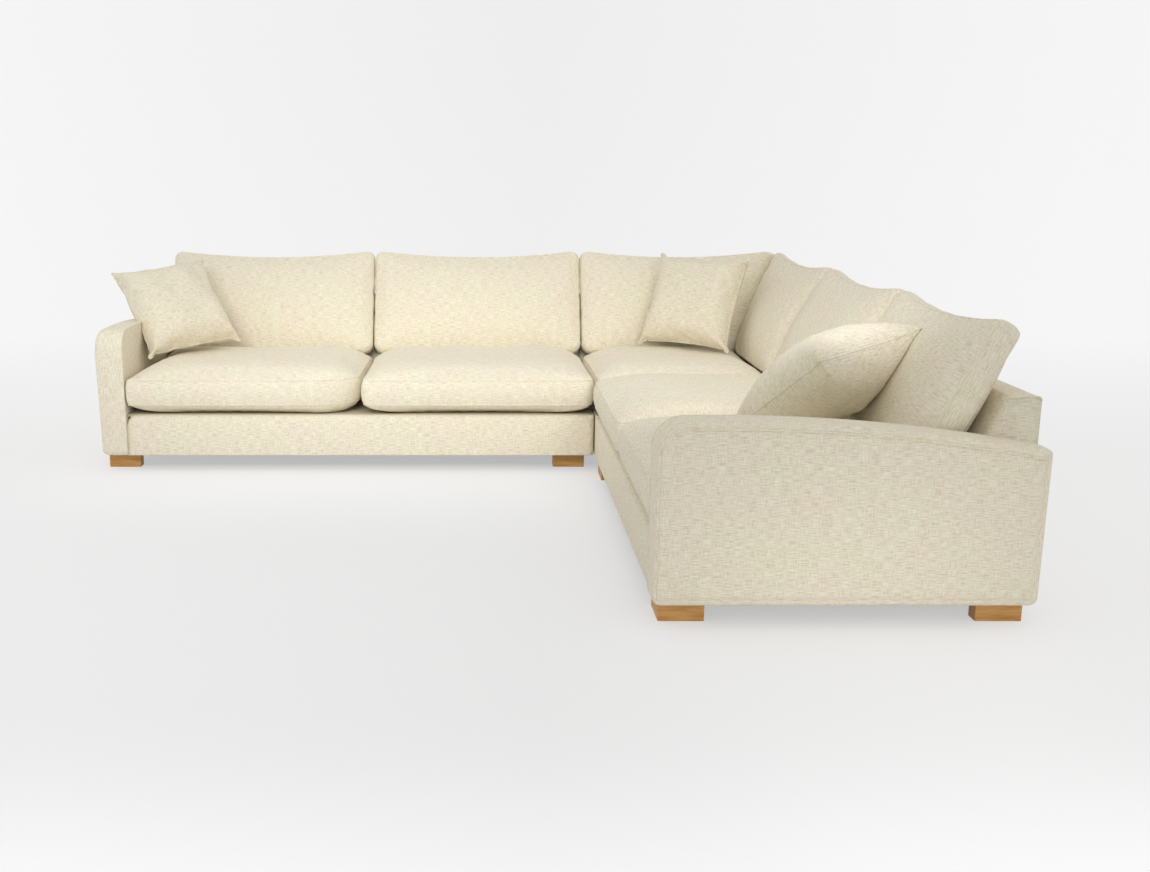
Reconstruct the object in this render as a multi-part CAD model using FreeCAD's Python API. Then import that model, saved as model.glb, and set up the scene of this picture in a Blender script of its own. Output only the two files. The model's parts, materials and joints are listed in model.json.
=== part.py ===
"""Corner sofa in three sections: a left one with an arm, a square corner, a right one with an arm.

Each arm section is built in its own frame: u runs along the wing from the corner outwards, v runs from
the front to the back, z is up. The left section is that frame mirrored, the right section is that frame
turned. The row frame is +X to the right, +Y to the back, +Z up, with its origin on the floor under the
middle of the sofa's footprint.
"""
import FreeCAD, Part
import math
import os

Vec = FreeCAD.Vector

# Overall sizes, in millimetres
depth = 1080.0
arm_width = 106.0
left_seat_width = 995.0
right_seat_width = 885.0
seats_per_wing = 2
foot_height = 65.0
base_top = 238.0
back_height = 650.0
back_top_thickness = 83.0
back_lean = math.radians(27.0)

# Upholstered base
section_gap = 3.0
border_thickness = 25.0
skin_thickness = 5.0
base_corner_radius = 24.0
dust_cover_thickness = 2.0
platform_thickness = 10.0

# Arms
arm_front_crown = 12.0
arm_shoulder_z = 505.0
arm_shoulder_v = 80.0
arm_shoulder_bow = 0.72
arm_crest_z = 598.0
arm_middle_v = 600.0
arm_middle_z = 580.0
arm_rear_z = 515.0
arm_low_corner = 26.0
arm_outer_round = 22.0
arm_inner_round = 6.0
arm_padding = 14.0

# Timber
rail = 25.0
seat_rail_width = 40.0
rail_height = 154.0
cross_rail_height = 80.0
corner_block = 110.0
corner_block_height = 40.0
wing_cross_rails = 3
corner_cross_rails = 1
play = 2.0
back_padding = 12.0
rib_spacing = 500.0

# Springs and webbing
wire = 4.0
spring_spacing = 125.0
spring_pitch = 30.0
spring_reach = 24.0
clip_width = 62.0
clip_thickness = 3.0
clip_setback = 1.0
strap_width = 50.0
strap_thickness = 2.0
straps_per_back = 4

# Feet
foot_length = 134.0
foot_width = 50.0
foot_chamfer = 1.5
foot_seen_setback = 64.0
left_side_setback = 6.0
right_front_setback = 14.0
inner_foot_u = 38.0
bolt_edge = 18.0
bolt_radius = 4.0
bolt_play = 0.3
bolt_length = 80.0
bolt_depth_in_foot = 40.0

# Plates that join the sections under their bases
plate_length = 90.0
plate_width = 40.0
plate_thickness = 3.0
plate_places = (220.0, 880.0)
screw_offset = 20.5
screw_radius = 3.0
screw_play = 0.3
screw_head_radius = 6.0
screw_head_height = 3.0
screw_length = 38.0

# Loose seat cushions
cushion_gap = 3.0
cushion_front_v = -8.0
cushion_rear_v = 765.0
lower_piping_z = 268.0
upper_piping_z = 390.0
rear_piping_z = 374.0
cushion_bottom_z = base_top + 0.5
cushion_crown_z = 438.0
cushion_front_bulge = 9.0
cushion_least_bulge = 0.3
cushion_end_rise = 4.0
cushion_end_drop = 3.0
cushion_top_arch = 1.5
cushion_shoulder = 120.0
cushion_corner_draw = 22.0
seat_fullness_power = 5
seat_stations = (0.0, 0.04, 0.12, 0.3, 0.5, 0.7, 0.88, 0.96, 1.0)

# The middle of each shoulder curve of a seat cushion, as shares of the shoulder's reach and height
front_shoulder = (0.42, 0.72)
rear_shoulder = (0.42, 0.62)
under_shoulder = (0.45, 0.68)

# Loose back cushions
back_piping_v = 728.0
back_piping_z = 414.0
back_cushion_height = 500.0
back_cushion_saddle = 22.0
boxing = 70.0
front_crown = 55.0
rear_crown = 52.0
end_bulge = 8.0
side_draw = 9.0
arm_side_clearance = 18.0
back_least_fullness = 0.03
back_fullness_power = 3
back_stations = (0.0, 0.06, 0.2, 0.5, 0.8, 0.94, 1.0)

# Scatter cushions
scatter_size = 450.0
scatter_half_thickness = 68.0
scatter_edge = 4.0
scatter_least_swell = 6.0
scatter_draw = 16.0
scatter_fullness_power = 2.4
scatter_stations = (0.0, 0.1, 0.3, 0.5, 0.7, 0.9, 1.0)
left_scatter_centre = (-1840.0, 503.0, 663.0)
left_scatter_turn = (34.6, 38.0, -6.8)
right_scatter_centre = (-1315.0, 592.0, 624.0)
right_scatter_turn = (45.6, 53.2, -12.9)
corner_scatter_centre = (505.0, 600.0, 660.0)
corner_scatter_turn = (-34.7, 26.2, 1.1)

left_wing_length = seats_per_wing * left_seat_width + arm_width
right_wing_length = seats_per_wing * right_seat_width + arm_width
shift = Vec((left_wing_length - depth) / 2, (right_wing_length - depth) / 2, 0)
frame_bottom = foot_height + dust_cover_thickness
rail_top = frame_bottom + rail_height
platform_bottom = base_top - platform_thickness

# How exactly an edge is found by its place, and how far a cut goes past what it cuts
tolerance = 1e-3
overcut = 1.0


def box(x0, x1, y0, y1, z0, z1):
    return Part.makeBox(x1 - x0, y1 - y0, z1 - z0, Vec(x0, y0, z0))


def arc(p, q, r):
    return Part.Arc(p, q, r).toShape()


def line(p, q):
    return Part.makeLine(p, q)


def polygon_face(points):
    return Part.Face(Part.makePolygon(list(points) + [points[0]]))


def prism_along_u(profile, u0, u1):
    """A solid with a (v, z) outline, from u0 to u1."""
    face = polygon_face([Vec(u0, v, z) for v, z in profile])
    return face.extrude(Vec(u1 - u0, 0, 0))


def swap_uv(shape):
    """The mirror image across the upright plane u = v."""
    return shape.mirror(Vec(0, 0, 0), Vec(1, -1, 0))


def left_of_mitre(gap):
    """The room on the left back's side of the upright plane u = v, from a gap along v onwards."""
    far = 2 * depth
    corners = [Vec(-far, gap - far, 0), Vec(far, far + gap, 0), Vec(-far, far + gap, 0)]
    return polygon_face(corners).extrude(Vec(0, 0, depth))


def upright_hole(x, y, z0, z1, radius):
    return Part.makeCylinder(radius, z1 - z0, Vec(x, y, z0))


def to_left(shape):
    return shape.mirror(Vec(0, 0, 0), Vec(1, 0, 0))


def to_right(shape):
    turned = shape.copy()
    turned.rotate(Vec(0, 0, 0), Vec(0, 0, 1), -90)
    return turned


def save(name, shapes):
    """Write one node, moved from the inner corner's frame to the row frame."""
    solids = [s for shape in shapes for s in shape.Solids]
    whole = solids[0] if len(solids) == 1 else Part.makeCompound(solids)
    whole = whole.copy()
    whole.translate(shift)
    b = whole.BoundBox
    state = "ok" if whole.isValid() and all(s.Volume > 0 for s in solids) else "BAD"
    print(f"{name:30s} {state} solids {len(solids):3d} litres {whole.Volume / 1e6:8.3f}"
          f"  x {b.XMin:8.1f} {b.XMax:8.1f}  y {b.YMin:8.1f} {b.YMax:8.1f}  z {b.ZMin:7.1f} {b.ZMax:7.1f}")
    whole.exportStep(f"parts/{name}.step")


def back_face_v(z, inset=0.0):
    """Where the leaning inner face of the back stands at height z, moved inwards by inset."""
    top_v = depth - back_top_thickness
    return top_v - (back_height - z) * math.tan(back_lean) + inset / math.cos(back_lean)


def back_outline():
    panel = depth - border_thickness
    return [(depth, foot_height), (depth, back_height), (depth - back_top_thickness, back_height),
            (back_face_v(base_top), base_top), (panel, base_top), (panel, foot_height)]


def back_cavity_outline(inset):
    """The room for the frame inside the back's cover, open at the bottom."""
    low = base_top - overcut
    high = back_height - inset
    rear = depth - border_thickness
    return [(back_face_v(low, inset), low), (rear, low), (rear, high), (back_face_v(high, inset), high)]


def round_long_edges(shape, radius, wanted):
    edges = [e for e in shape.Edges if wanted(e)]
    return shape.makeFillet(radius, edges)


# The base: frame, springs, platform, covers


def seat_frame(u0, u1, v0, cross_rails):
    """Glued hardwood rails and corner blocks of one base, with the seat rail that the springs end on."""
    v1 = depth - border_thickness
    seat_rail_v = back_face_v(base_top)
    parts = [box(u0, u1, v0, v0 + rail, frame_bottom, rail_top),
             box(u0, u1, v1 - rail, v1, frame_bottom, rail_top),
             box(u0, u1, seat_rail_v, seat_rail_v + seat_rail_width, frame_bottom, rail_top),
             box(u0, u0 + rail, v0, v1, frame_bottom, rail_top),
             box(u1 - rail, u1, v0, v1, frame_bottom, rail_top)]
    for k in range(cross_rails):
        middle = u0 + (u1 - u0) * (k + 1) / (cross_rails + 1)
        parts.append(box(middle - rail / 2, middle + rail / 2, v0, v1, frame_bottom,
                         frame_bottom + cross_rail_height))
    block_top = frame_bottom + corner_block_height
    for u in (u0, u1 - corner_block):
        for v in (v0, v1 - corner_block):
            parts.append(box(u, u + corner_block, v, v + corner_block, frame_bottom, block_top))
    return parts[0].multiFuse(parts[1:]).removeSplitter()


def zigzag_spring(u, v0, v1):
    """One seat spring from the front rail to the seat rail, as a flat zigzag strip."""
    turns = int((v1 - v0) / spring_pitch)
    pitch = (v1 - v0) / turns
    slant = math.hypot(pitch, 2 * spring_reach) / pitch
    half = wire / 2 * slant
    middle = [(u + (spring_reach if k % 2 else -spring_reach), v0 + k * pitch) for k in range(turns + 1)]
    outline = [Vec(a - half, b, rail_top) for a, b in middle]
    outline += [Vec(a + half, b, rail_top) for a, b in reversed(middle)]
    return polygon_face(outline).extrude(Vec(0, 0, wire))


def spring_places(u0, u1):
    count = int((u1 - u0) / spring_spacing)
    step = (u1 - u0) / count
    return [u0 + step * (k + 0.5) for k in range(count)]


def seat_springs(u0, u1, front_rail_v):
    v0 = front_rail_v + rail / 2
    v1 = back_face_v(base_top) + rail / 2
    return [zigzag_spring(u, v0, v1) for u in spring_places(u0, u1)]


def spring_clips(u0, u1, front_rail_v):
    """The clips that hold both ends of each spring down on its rail."""
    clips = []
    for u in spring_places(u0, u1):
        for v in (front_rail_v + clip_setback, back_face_v(base_top) - clip_setback):
            left = u - clip_width / 2
            right = u + clip_width / 2
            far = v + rail - clip_setback
            low = rail_top + wire
            top = box(left, right, v, far, low, low + clip_thickness)
            feet = [box(left, left + clip_thickness, v, far, rail_top, low),
                    box(right - clip_thickness, right, v, far, rail_top, low)]
            clips.append(top.multiFuse(feet).removeSplitter())
    return clips


def platform(u0, u1, v0):
    """The cloth-covered deck that the seat cushions lie on."""
    return box(u0, u1, v0, back_face_v(base_top) - play, platform_bottom, base_top)


def base_cover(u0, u1):
    """Padded front border, with the thin side panel that faces the next section."""
    outer = box(u0, u1, 0, depth - border_thickness, foot_height, base_top)
    outer = round_long_edges(outer, base_corner_radius, lambda e: is_front_top(e) or is_front_corner(e, u0))
    inner = box(u0 + skin_thickness, u1 + overcut, border_thickness, depth, 0, back_height)
    return outer.cut(inner)


def is_front_top(edge):
    b = edge.BoundBox
    return b.YMax < tolerance and b.ZMin > base_top - tolerance


def is_front_corner(edge, u0):
    b = edge.BoundBox
    return b.YMax < tolerance and abs(b.XMax - u0) < tolerance


def dust_cover(u0, u1, v0):
    """The cloth under the base."""
    return box(u0, u1, v0, depth - border_thickness, foot_height, frame_bottom)


def drill(shape, holes):
    """Cut an upright hole, from under the base to its top, at each (x, y, radius, top)."""
    for x, y, radius, top in holes:
        shape = shape.cut(upright_hole(x, y, foot_height - overcut, top, radius))
    return shape


# The arm


def arm_outline(inset):
    """The arm seen from its side, as edges in the (v, z) plane at u = 0, drawn in by inset."""
    front = inset - arm_front_crown
    rear = depth - inset
    low = foot_height + inset
    r = arm_low_corner - inset
    k = r * (1 - math.sqrt(0.5))
    crest = arm_crest_z - inset
    corner_v = front + (arm_shoulder_v - front) * (1 - arm_shoulder_bow)
    corner_z = arm_shoulder_z + (crest - arm_shoulder_z) * arm_shoulder_bow
    p = [Vec(0, rear - r, low), Vec(0, front + r, low), Vec(0, front, low + r),
         Vec(0, front, arm_shoulder_z), Vec(0, arm_shoulder_v, crest),
         Vec(0, rear, arm_rear_z - inset), Vec(0, rear, low + r)]
    return [line(p[0], p[1]),
            arc(p[1], Vec(0, front + k, low + k), p[2]),
            line(p[2], p[3]),
            arc(p[3], Vec(0, corner_v, corner_z), p[4]),
            arc(p[4], Vec(0, arm_middle_v, arm_middle_z - inset), p[5]),
            line(p[5], p[6]),
            arc(p[6], Vec(0, rear - k, low + k), p[0])]


def arm_solid(u0, u1, inset):
    face = Part.Face(Part.Wire(arm_outline(inset)))
    face.translate(Vec(u0, 0, 0))
    return face.extrude(Vec(u1 - u0, 0, 0))


def arm_cover(u0, u1):
    """The padded, upholstered arm, open underneath, where its frame stands."""
    outer = arm_solid(u0, u1, 0.0)
    outer = round_long_edges(outer, arm_outer_round, lambda e: e.BoundBox.XMin > u1 - tolerance)
    outer = round_long_edges(outer, arm_inner_round, lambda e: e.BoundBox.XMax < u0 + tolerance)
    a0 = u0 + arm_padding
    a1 = u1 - arm_padding
    hollow = arm_solid(a0, a1, arm_padding)
    mouth = box(a0, a1, arm_low_corner, depth - arm_low_corner, 0, foot_height + arm_low_corner)
    return outer.cut(hollow.fuse(mouth))


def arm_frame(u0, u1):
    """Hardwood arm frame: sill, two posts, a middle post and the curved top."""
    a0 = u0 + arm_padding
    a1 = u1 - arm_padding
    whole = arm_solid(a0, a1, arm_padding)
    v0 = arm_low_corner
    v1 = depth - arm_low_corner
    whole = whole.common(box(a0, a1, v0, v1, 0, back_height))
    sill = box(a0, a1, v0, v1, frame_bottom, foot_height + arm_low_corner)
    whole = whole.cut(box(a0, a1, v0, v1, 0, foot_height + arm_low_corner)).fuse(sill)
    window_top = arm_rear_z - arm_padding - rail
    low = frame_bottom + corner_block_height + rail
    post = 2 * rail
    middle = (v0 + v1) / 2
    for w0, w1 in ((v0 + post, middle - rail / 2), (middle + rail / 2, v1 - post)):
        whole = whole.cut(box(a0 - overcut, a1 + overcut, w0, w1, low, window_top))
    return whole.removeSplitter()


# The back


def back_prism(u0, u1):
    return prism_along_u(back_outline(), u0, u1)


def back_cavity(u0, u1):
    return prism_along_u(back_cavity_outline(back_padding), u0, u1)


def is_back_top(edge):
    b = edge.BoundBox
    return b.ZMin > back_height - tolerance and b.XLength > depth / 2


def back_cover(u0, u1):
    """The upholstered back: leaning inside, flat top, outside panel down to the foot of the base."""
    outer = round_long_edges(back_prism(u0, u1), back_padding, is_back_top)
    return outer.cut(back_cavity(u0 + back_padding, u1 - back_padding))


def back_ribs(u0, u1):
    """Upright plywood ribs of the back frame, cut to the lean of the inner face."""
    inset = back_padding + strap_thickness
    toe_v = back_face_v(base_top) + rail + play
    rear = depth - border_thickness
    high = back_height - inset
    outline = [(toe_v, rail_top), (rear, rail_top), (rear, high), (back_face_v(high, inset), high),
               (back_face_v(base_top, inset), base_top), (toe_v, base_top)]
    count = max(2, round((u1 - u0) / rib_spacing) + 1)
    step = (u1 - u0 - rail) / (count - 1)
    return [prism_along_u(outline, u0 + k * step, u0 + k * step + rail) for k in range(count)]


def back_rails(u0, u1):
    """Top rail, sill and two stretchers that join the ribs."""
    high = back_height - back_padding - strap_thickness
    rear = depth - border_thickness
    middle = (base_top + back_height) / 2
    return [box(u0, u1, rear - rail, rear, high - 2 * rail, high),
            box(u0, u1, rear - rail, rear, rail_top, rail_top + 2 * rail),
            box(u0, u1, rear - rail, rear, middle - rail, middle + rail)]


def back_frame(u0, u1):
    parts = back_ribs(u0, u1) + back_rails(u0, u1)
    return parts[0].multiFuse(parts[1:]).removeSplitter()


def back_webbing(u0, u1):
    """Elastic straps across the ribs, just behind the padding of the inner face."""
    straps = []
    room = back_height - base_top - 2 * strap_width
    for k in range(straps_per_back):
        low = base_top + strap_width / 2 + k * room / straps_per_back
        high = low + strap_width * math.cos(back_lean)
        outline = [(back_face_v(low, back_padding), low),
                   (back_face_v(low, back_padding + strap_thickness), low),
                   (back_face_v(high, back_padding + strap_thickness), high),
                   (back_face_v(high, back_padding), high)]
        straps.append(prism_along_u(outline, u0, u1))
    return straps


# Feet, bolts and connectors


def bored(foot, bolts):
    """The foot with a blind hole for each bolt."""
    low = foot_height - bolt_depth_in_foot
    for x, y in bolts:
        foot = foot.cut(upright_hole(x, y, low, foot_height + overcut, bolt_radius + bolt_play))
    return foot


def ease_upright_edges(foot):
    return foot.makeChamfer(foot_chamfer, [e for e in foot.Edges if e.BoundBox.ZLength > foot_height / 2])


def block_foot(x0, y0, x_size, y_size):
    """An oak block with its upright edges eased."""
    return ease_upright_edges(box(x0, x0 + x_size, y0, y0 + y_size, 0, foot_height))


def angle_foot(x0, y0, x_size, y_size):
    """An L-shaped oak corner foot with eased upright edges: one leg along each outside face."""
    x1 = x0 + x_size
    y1 = y0 + y_size
    leg = foot_width
    outline = [(x0, y0), (x1, y0), (x1, y1), (x1 - leg, y1), (x1 - leg, y0 + leg), (x0, y0 + leg)]
    foot = polygon_face([Vec(x, y, 0) for x, y in outline]).extrude(Vec(0, 0, foot_height))
    return ease_upright_edges(foot)


def foot_bolts(places):
    low = foot_height - bolt_depth_in_foot
    return [upright_hole(x, y, low, low + bolt_length, bolt_radius) for x, y in places]


# Cushions


def fullness(t):
    """0 at both ends of a cushion and nearly 1 over most of its width."""
    return 1.0 - abs(2.0 * t - 1.0) ** seat_fullness_power


def seat_cushion_section(u, t, v0, v1, top_front, top_rear):
    """The outline of a boxed seat cushion at u: front border, crowned top, back edge, crowned bottom."""
    full = fullness(t)
    draw = cushion_corner_draw * (1.0 - full) ** 2
    front = v0 + draw
    rear = v1 - draw / 2
    edge_top = top_front + cushion_end_rise
    crown = edge_top + (cushion_crown_z - edge_top) * full
    edge_low = lower_piping_z - cushion_end_drop
    low = edge_low - (edge_low - cushion_bottom_z) * full
    s = cushion_shoulder
    bow = cushion_front_bulge * (cushion_least_bulge + (1.0 - cushion_least_bulge) * full)
    middle_z = (lower_piping_z + top_front) / 2
    front_bend = top_front + (crown - top_front) * front_shoulder[1]
    rear_bend = top_rear + (crown - top_rear) * rear_shoulder[1]
    low_bend = lower_piping_z - (lower_piping_z - low) * under_shoulder[1]
    p = [Vec(u, front, lower_piping_z), Vec(u, front, top_front), Vec(u, front + s, crown),
         Vec(u, rear - s, crown), Vec(u, rear, top_rear), Vec(u, rear, lower_piping_z),
         Vec(u, rear - s, low), Vec(u, front + s, low)]
    edges = [arc(p[0], Vec(u, front - bow, middle_z), p[1]),
             arc(p[1], Vec(u, front + s * front_shoulder[0], front_bend), p[2]),
             arc(p[2], Vec(u, (front + rear) / 2, crown + cushion_top_arch), p[3]),
             arc(p[3], Vec(u, rear - s * rear_shoulder[0], rear_bend), p[4]),
             line(p[4], p[5]),
             arc(p[5], Vec(u, rear - s * under_shoulder[0], low_bend), p[6]),
             line(p[6], p[7]),
             arc(p[7], Vec(u, front + s * under_shoulder[0], low_bend), p[0])]
    return Part.Wire(edges)


def seat_cushion(u0, u1, far_end_low=False):
    """A loose boxed seat cushion. The far end of a corner seat drops too, under the second back."""
    front = cushion_gap + cushion_front_bulge if far_end_low else cushion_front_v
    wires = []
    for t in seat_stations:
        top_front = upper_piping_z
        if far_end_low:
            top_front -= (upper_piping_z - rear_piping_z) * t
        wires.append(seat_cushion_section(u0 + (u1 - u0) * t, t, front, cushion_rear_v, top_front,
                                          rear_piping_z))
    return Part.makeLoft(wires, True, False)


def lean_point(u, up, out):
    """A point of a back cushion: up along its height, out towards the sitter from its middle surface."""
    base_v = back_piping_v + boxing / 2 * math.cos(back_lean)
    base_z = back_piping_z - boxing / 2 * math.sin(back_lean)
    v = base_v + up * math.sin(back_lean) - out * math.cos(back_lean)
    z = base_z + up * math.cos(back_lean) + out * math.sin(back_lean)
    return Vec(u, v, z)


def back_cushion_section(u, t):
    """The outline of a back cushion at u: crowned front and rear, boxed edges, saddle-shaped top."""
    full = 1.0 - (1.0 - back_least_fullness) * abs(2.0 * t - 1.0) ** back_fullness_power
    height = back_cushion_height - back_cushion_saddle * (1.0 - (2.0 * t - 1.0) ** 2)
    half = boxing / 2
    bulge = 1.0 + end_bulge * full
    return Part.Wire([
        arc(lean_point(u, 0, half), lean_point(u, height / 2, half + front_crown * full),
            lean_point(u, height, half)),
        arc(lean_point(u, height, half), lean_point(u, height + bulge, 0), lean_point(u, height, -half)),
        arc(lean_point(u, height, -half), lean_point(u, height / 2, -half - rear_crown * full),
            lean_point(u, 0, -half)),
        arc(lean_point(u, 0, -half), lean_point(u, -bulge, 0), lean_point(u, 0, half))])


def side_cutter(u, towards):
    """What draws in the side of a back cushion: a long shallow bow, as deep as side_draw at its middle."""
    thick = boxing + front_crown + rear_crown + 2 * end_bulge
    out = -rear_crown - boxing
    low = lean_point(u, -3 * end_bulge, out)
    middle = lean_point(u, back_cushion_height / 2, out) + Vec(towards * side_draw, 0, 0)
    high = lean_point(u, back_cushion_height + 3 * end_bulge, out)
    edge = Part.Wire([arc(low, middle, high), line(high, low)])
    normal = lean_point(0, 0, 2 * thick) - lean_point(0, 0, 0)
    return Part.Face(edge).extrude(normal)


def back_cushion(u0, u1):
    wires = [back_cushion_section(u0 + (u1 - u0) * t, t) for t in back_stations]
    cushion = Part.makeLoft(wires, True, False)
    return cushion.cut(side_cutter(u0, 1.0)).cut(side_cutter(u1, -1.0))


def corner_back_cushion():
    """The cushion that leans on the left back of the corner, mitred where its twin begins."""
    u0 = cushion_gap
    u1 = 2 * depth - back_piping_v
    wires = [back_cushion_section(u0 + (u1 - u0) * t, t) for t in back_stations]
    cushion = Part.makeLoft(wires, True, False).cut(side_cutter(u0, 1.0))
    return cushion.common(left_of_mitre(2 * cushion_gap))


def scatter_section(x, t):
    """The lens-shaped outline of a scatter cushion at x, in its own frame: x across, y through, z up."""
    full = 1.0 - abs(2.0 * t - 1.0) ** scatter_fullness_power
    half_height = scatter_size / 2 - scatter_draw * (1.0 - (2.0 * t - 1.0) ** 2)
    swell = scatter_least_swell + (scatter_half_thickness - scatter_least_swell) * full
    e = scatter_edge
    return Part.Wire([
        arc(Vec(x, -e, -half_height), Vec(x, -swell, 0), Vec(x, -e, half_height)),
        line(Vec(x, -e, half_height), Vec(x, e, half_height)),
        arc(Vec(x, e, half_height), Vec(x, swell, 0), Vec(x, e, -half_height)),
        line(Vec(x, e, -half_height), Vec(x, -e, -half_height))])


def scatter_cushion(centre, heading, lean, roll):
    """A knife-edged square cushion with drawn-in sides, turned and leant where it lies."""
    s = scatter_size / 2
    wires = [scatter_section(scatter_size * (t - 0.5), t) for t in scatter_stations]
    cushion = Part.makeLoft(wires, True, False)
    reach = 2 * scatter_half_thickness
    for side in (-1, 1):
        edge = Part.Wire([arc(Vec(side * s, -reach, -s), Vec(side * (s - scatter_draw), -reach, 0),
                              Vec(side * s, -reach, s)),
                          line(Vec(side * s, -reach, s), Vec(side * s, -reach, -s))])
        cushion = cushion.cut(Part.Face(edge).extrude(Vec(0, 2 * reach, 0)))
    cushion.rotate(Vec(0, 0, 0), Vec(0, 1, 0), roll)
    cushion.rotate(Vec(0, 0, 0), Vec(1, 0, 0), -lean)
    cushion.rotate(Vec(0, 0, 0), Vec(0, 0, 1), heading)
    cushion.translate(centre)
    return cushion


# Screws, plates and the sections as a whole


def joint_plates():
    """Steel plates under the joints, two to each arm section, as (x, y, along X or not)."""
    left = [(0.0, y, True) for y in plate_places]
    right = [(x, 0.0, False) for x in plate_places]
    return left + right


def screw_places():
    places = []
    for x, y, along_x in joint_plates():
        for side in (-screw_offset, screw_offset):
            places.append((x + side, y) if along_x else (x, y + side))
    return places


def connector_plate(x, y, along_x):
    dx = (plate_length if along_x else plate_width) / 2
    dy = (plate_width if along_x else plate_length) / 2
    plate = box(x - dx, x + dx, y - dy, y + dy, foot_height - plate_thickness, foot_height)
    for side in (-screw_offset, screw_offset):
        hx = x + side if along_x else x
        hy = y if along_x else y + side
        plate = plate.cut(upright_hole(hx, hy, 0, foot_height + overcut, screw_radius + screw_play))
    return plate


def connector_screw(x, y):
    low = foot_height - plate_thickness
    head = upright_hole(x, y, low - screw_head_height, low, screw_head_radius)
    return head.fuse(upright_hole(x, y, low, low + screw_length, screw_radius)).removeSplitter()


def screw_holes(places):
    top = foot_height - plate_thickness + screw_length
    return [(x, y, screw_radius + screw_play, top) for x, y in places]


def bolt_holes(places):
    top = foot_height - bolt_depth_in_foot + bolt_length
    return [(x, y, bolt_radius + bolt_play, top) for x, y in places]


def wing_feet(arm_out, front_setback, side_setback):
    """The feet of an arm section, each with its bolt places: the corner foot first."""
    outer = arm_out - side_setback
    bolt_u = outer - bolt_edge
    bolt_v = front_setback + bolt_edge
    spacing = foot_length - 2 * bolt_edge
    corner = (angle_foot(outer - foot_length, front_setback, foot_length, foot_length),
              [(bolt_u, bolt_v), (bolt_u - spacing, bolt_v), (bolt_u, bolt_v + spacing)])
    rear_v = depth - bolt_edge - foot_length
    rear_bolts = [(bolt_u, rear_v + 2 * bolt_edge), (bolt_u, rear_v + foot_length - 2 * bolt_edge)]
    feet = [corner, (block_foot(outer - foot_width, rear_v, foot_width, foot_length), rear_bolts)]
    for v in (front_setback, depth - foot_seen_setback - foot_width):
        middle = v + foot_width / 2
        feet.append((block_foot(inner_foot_u, v, foot_length, foot_width),
                     [(inner_foot_u + bolt_edge, middle), (inner_foot_u + foot_length / 2, middle)]))
    return feet


def arm_section(side, place, seat_width, front_setback, side_setback):
    """Every fixed piece of a section with an arm, and its four loose cushions."""
    u_end = seats_per_wing * seat_width
    arm_out = u_end + arm_width
    u0 = section_gap
    inside = u0 + skin_thickness
    front = border_thickness
    feet = wing_feet(arm_out, front_setback, side_setback)
    bolts = [b for _, places in feet for b in places]
    screws = [(screw_offset, v) for v in plate_places]
    holes = bolt_holes(bolts) + screw_holes(screws)

    def put(name, shapes):
        save(f"{side}_{name}", [place(shape) for shape in shapes])

    put("seat_frame", [drill(seat_frame(inside, u_end, front, wing_cross_rails), holes)])
    put("seat_springs", seat_springs(inside + rail, u_end - rail, front))
    put("spring_clips", spring_clips(inside + rail, u_end - rail, front))
    put("platform", [platform(inside, u_end, front)])
    put("base_cover", [base_cover(u0, u_end)])
    put("dust_cover", [drill(dust_cover(inside, u_end, front), holes)])
    put("arm_frame", [drill(arm_frame(u_end, arm_out), holes)])
    put("arm_cover", [arm_cover(u_end, arm_out)])
    put("back_frame", [back_frame(u0 + back_padding, u_end - back_padding)])
    put("back_webbing", back_webbing(u0 + back_padding, u_end - back_padding))
    put("back_cover", [back_cover(u0, u_end)])
    put("corner_foot", [bored(*feet[0])])
    put("block_feet", [bored(*foot) for foot in feet[1:]])
    put("foot_bolts", foot_bolts(bolts))
    g = cushion_gap
    put("seat_cushion_inner", [seat_cushion(g, seat_width - g)])
    put("seat_cushion_arm", [seat_cushion(seat_width + g, u_end - g)])
    put("back_cushion_inner", [back_cushion(g, seat_width - g)])
    put("back_cushion_arm", [back_cushion(seat_width + g, u_end - arm_side_clearance)])


def corner_feet():
    """Four blocks under the corner section, with their bolt places."""
    feet = []
    far_x = depth - foot_seen_setback - foot_length
    far_y = depth - foot_seen_setback - foot_width
    for x, bolts in ((foot_seen_setback, (bolt_edge, foot_length / 3)),
                     (far_x, (foot_length - bolt_edge, foot_length * 2 / 3))):
        for y in (foot_seen_setback, far_y):
            places = [(x + along, y + foot_width / 2) for along in bolts]
            feet.append((block_foot(x, y, foot_length, foot_width), places))
    return feet


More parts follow.
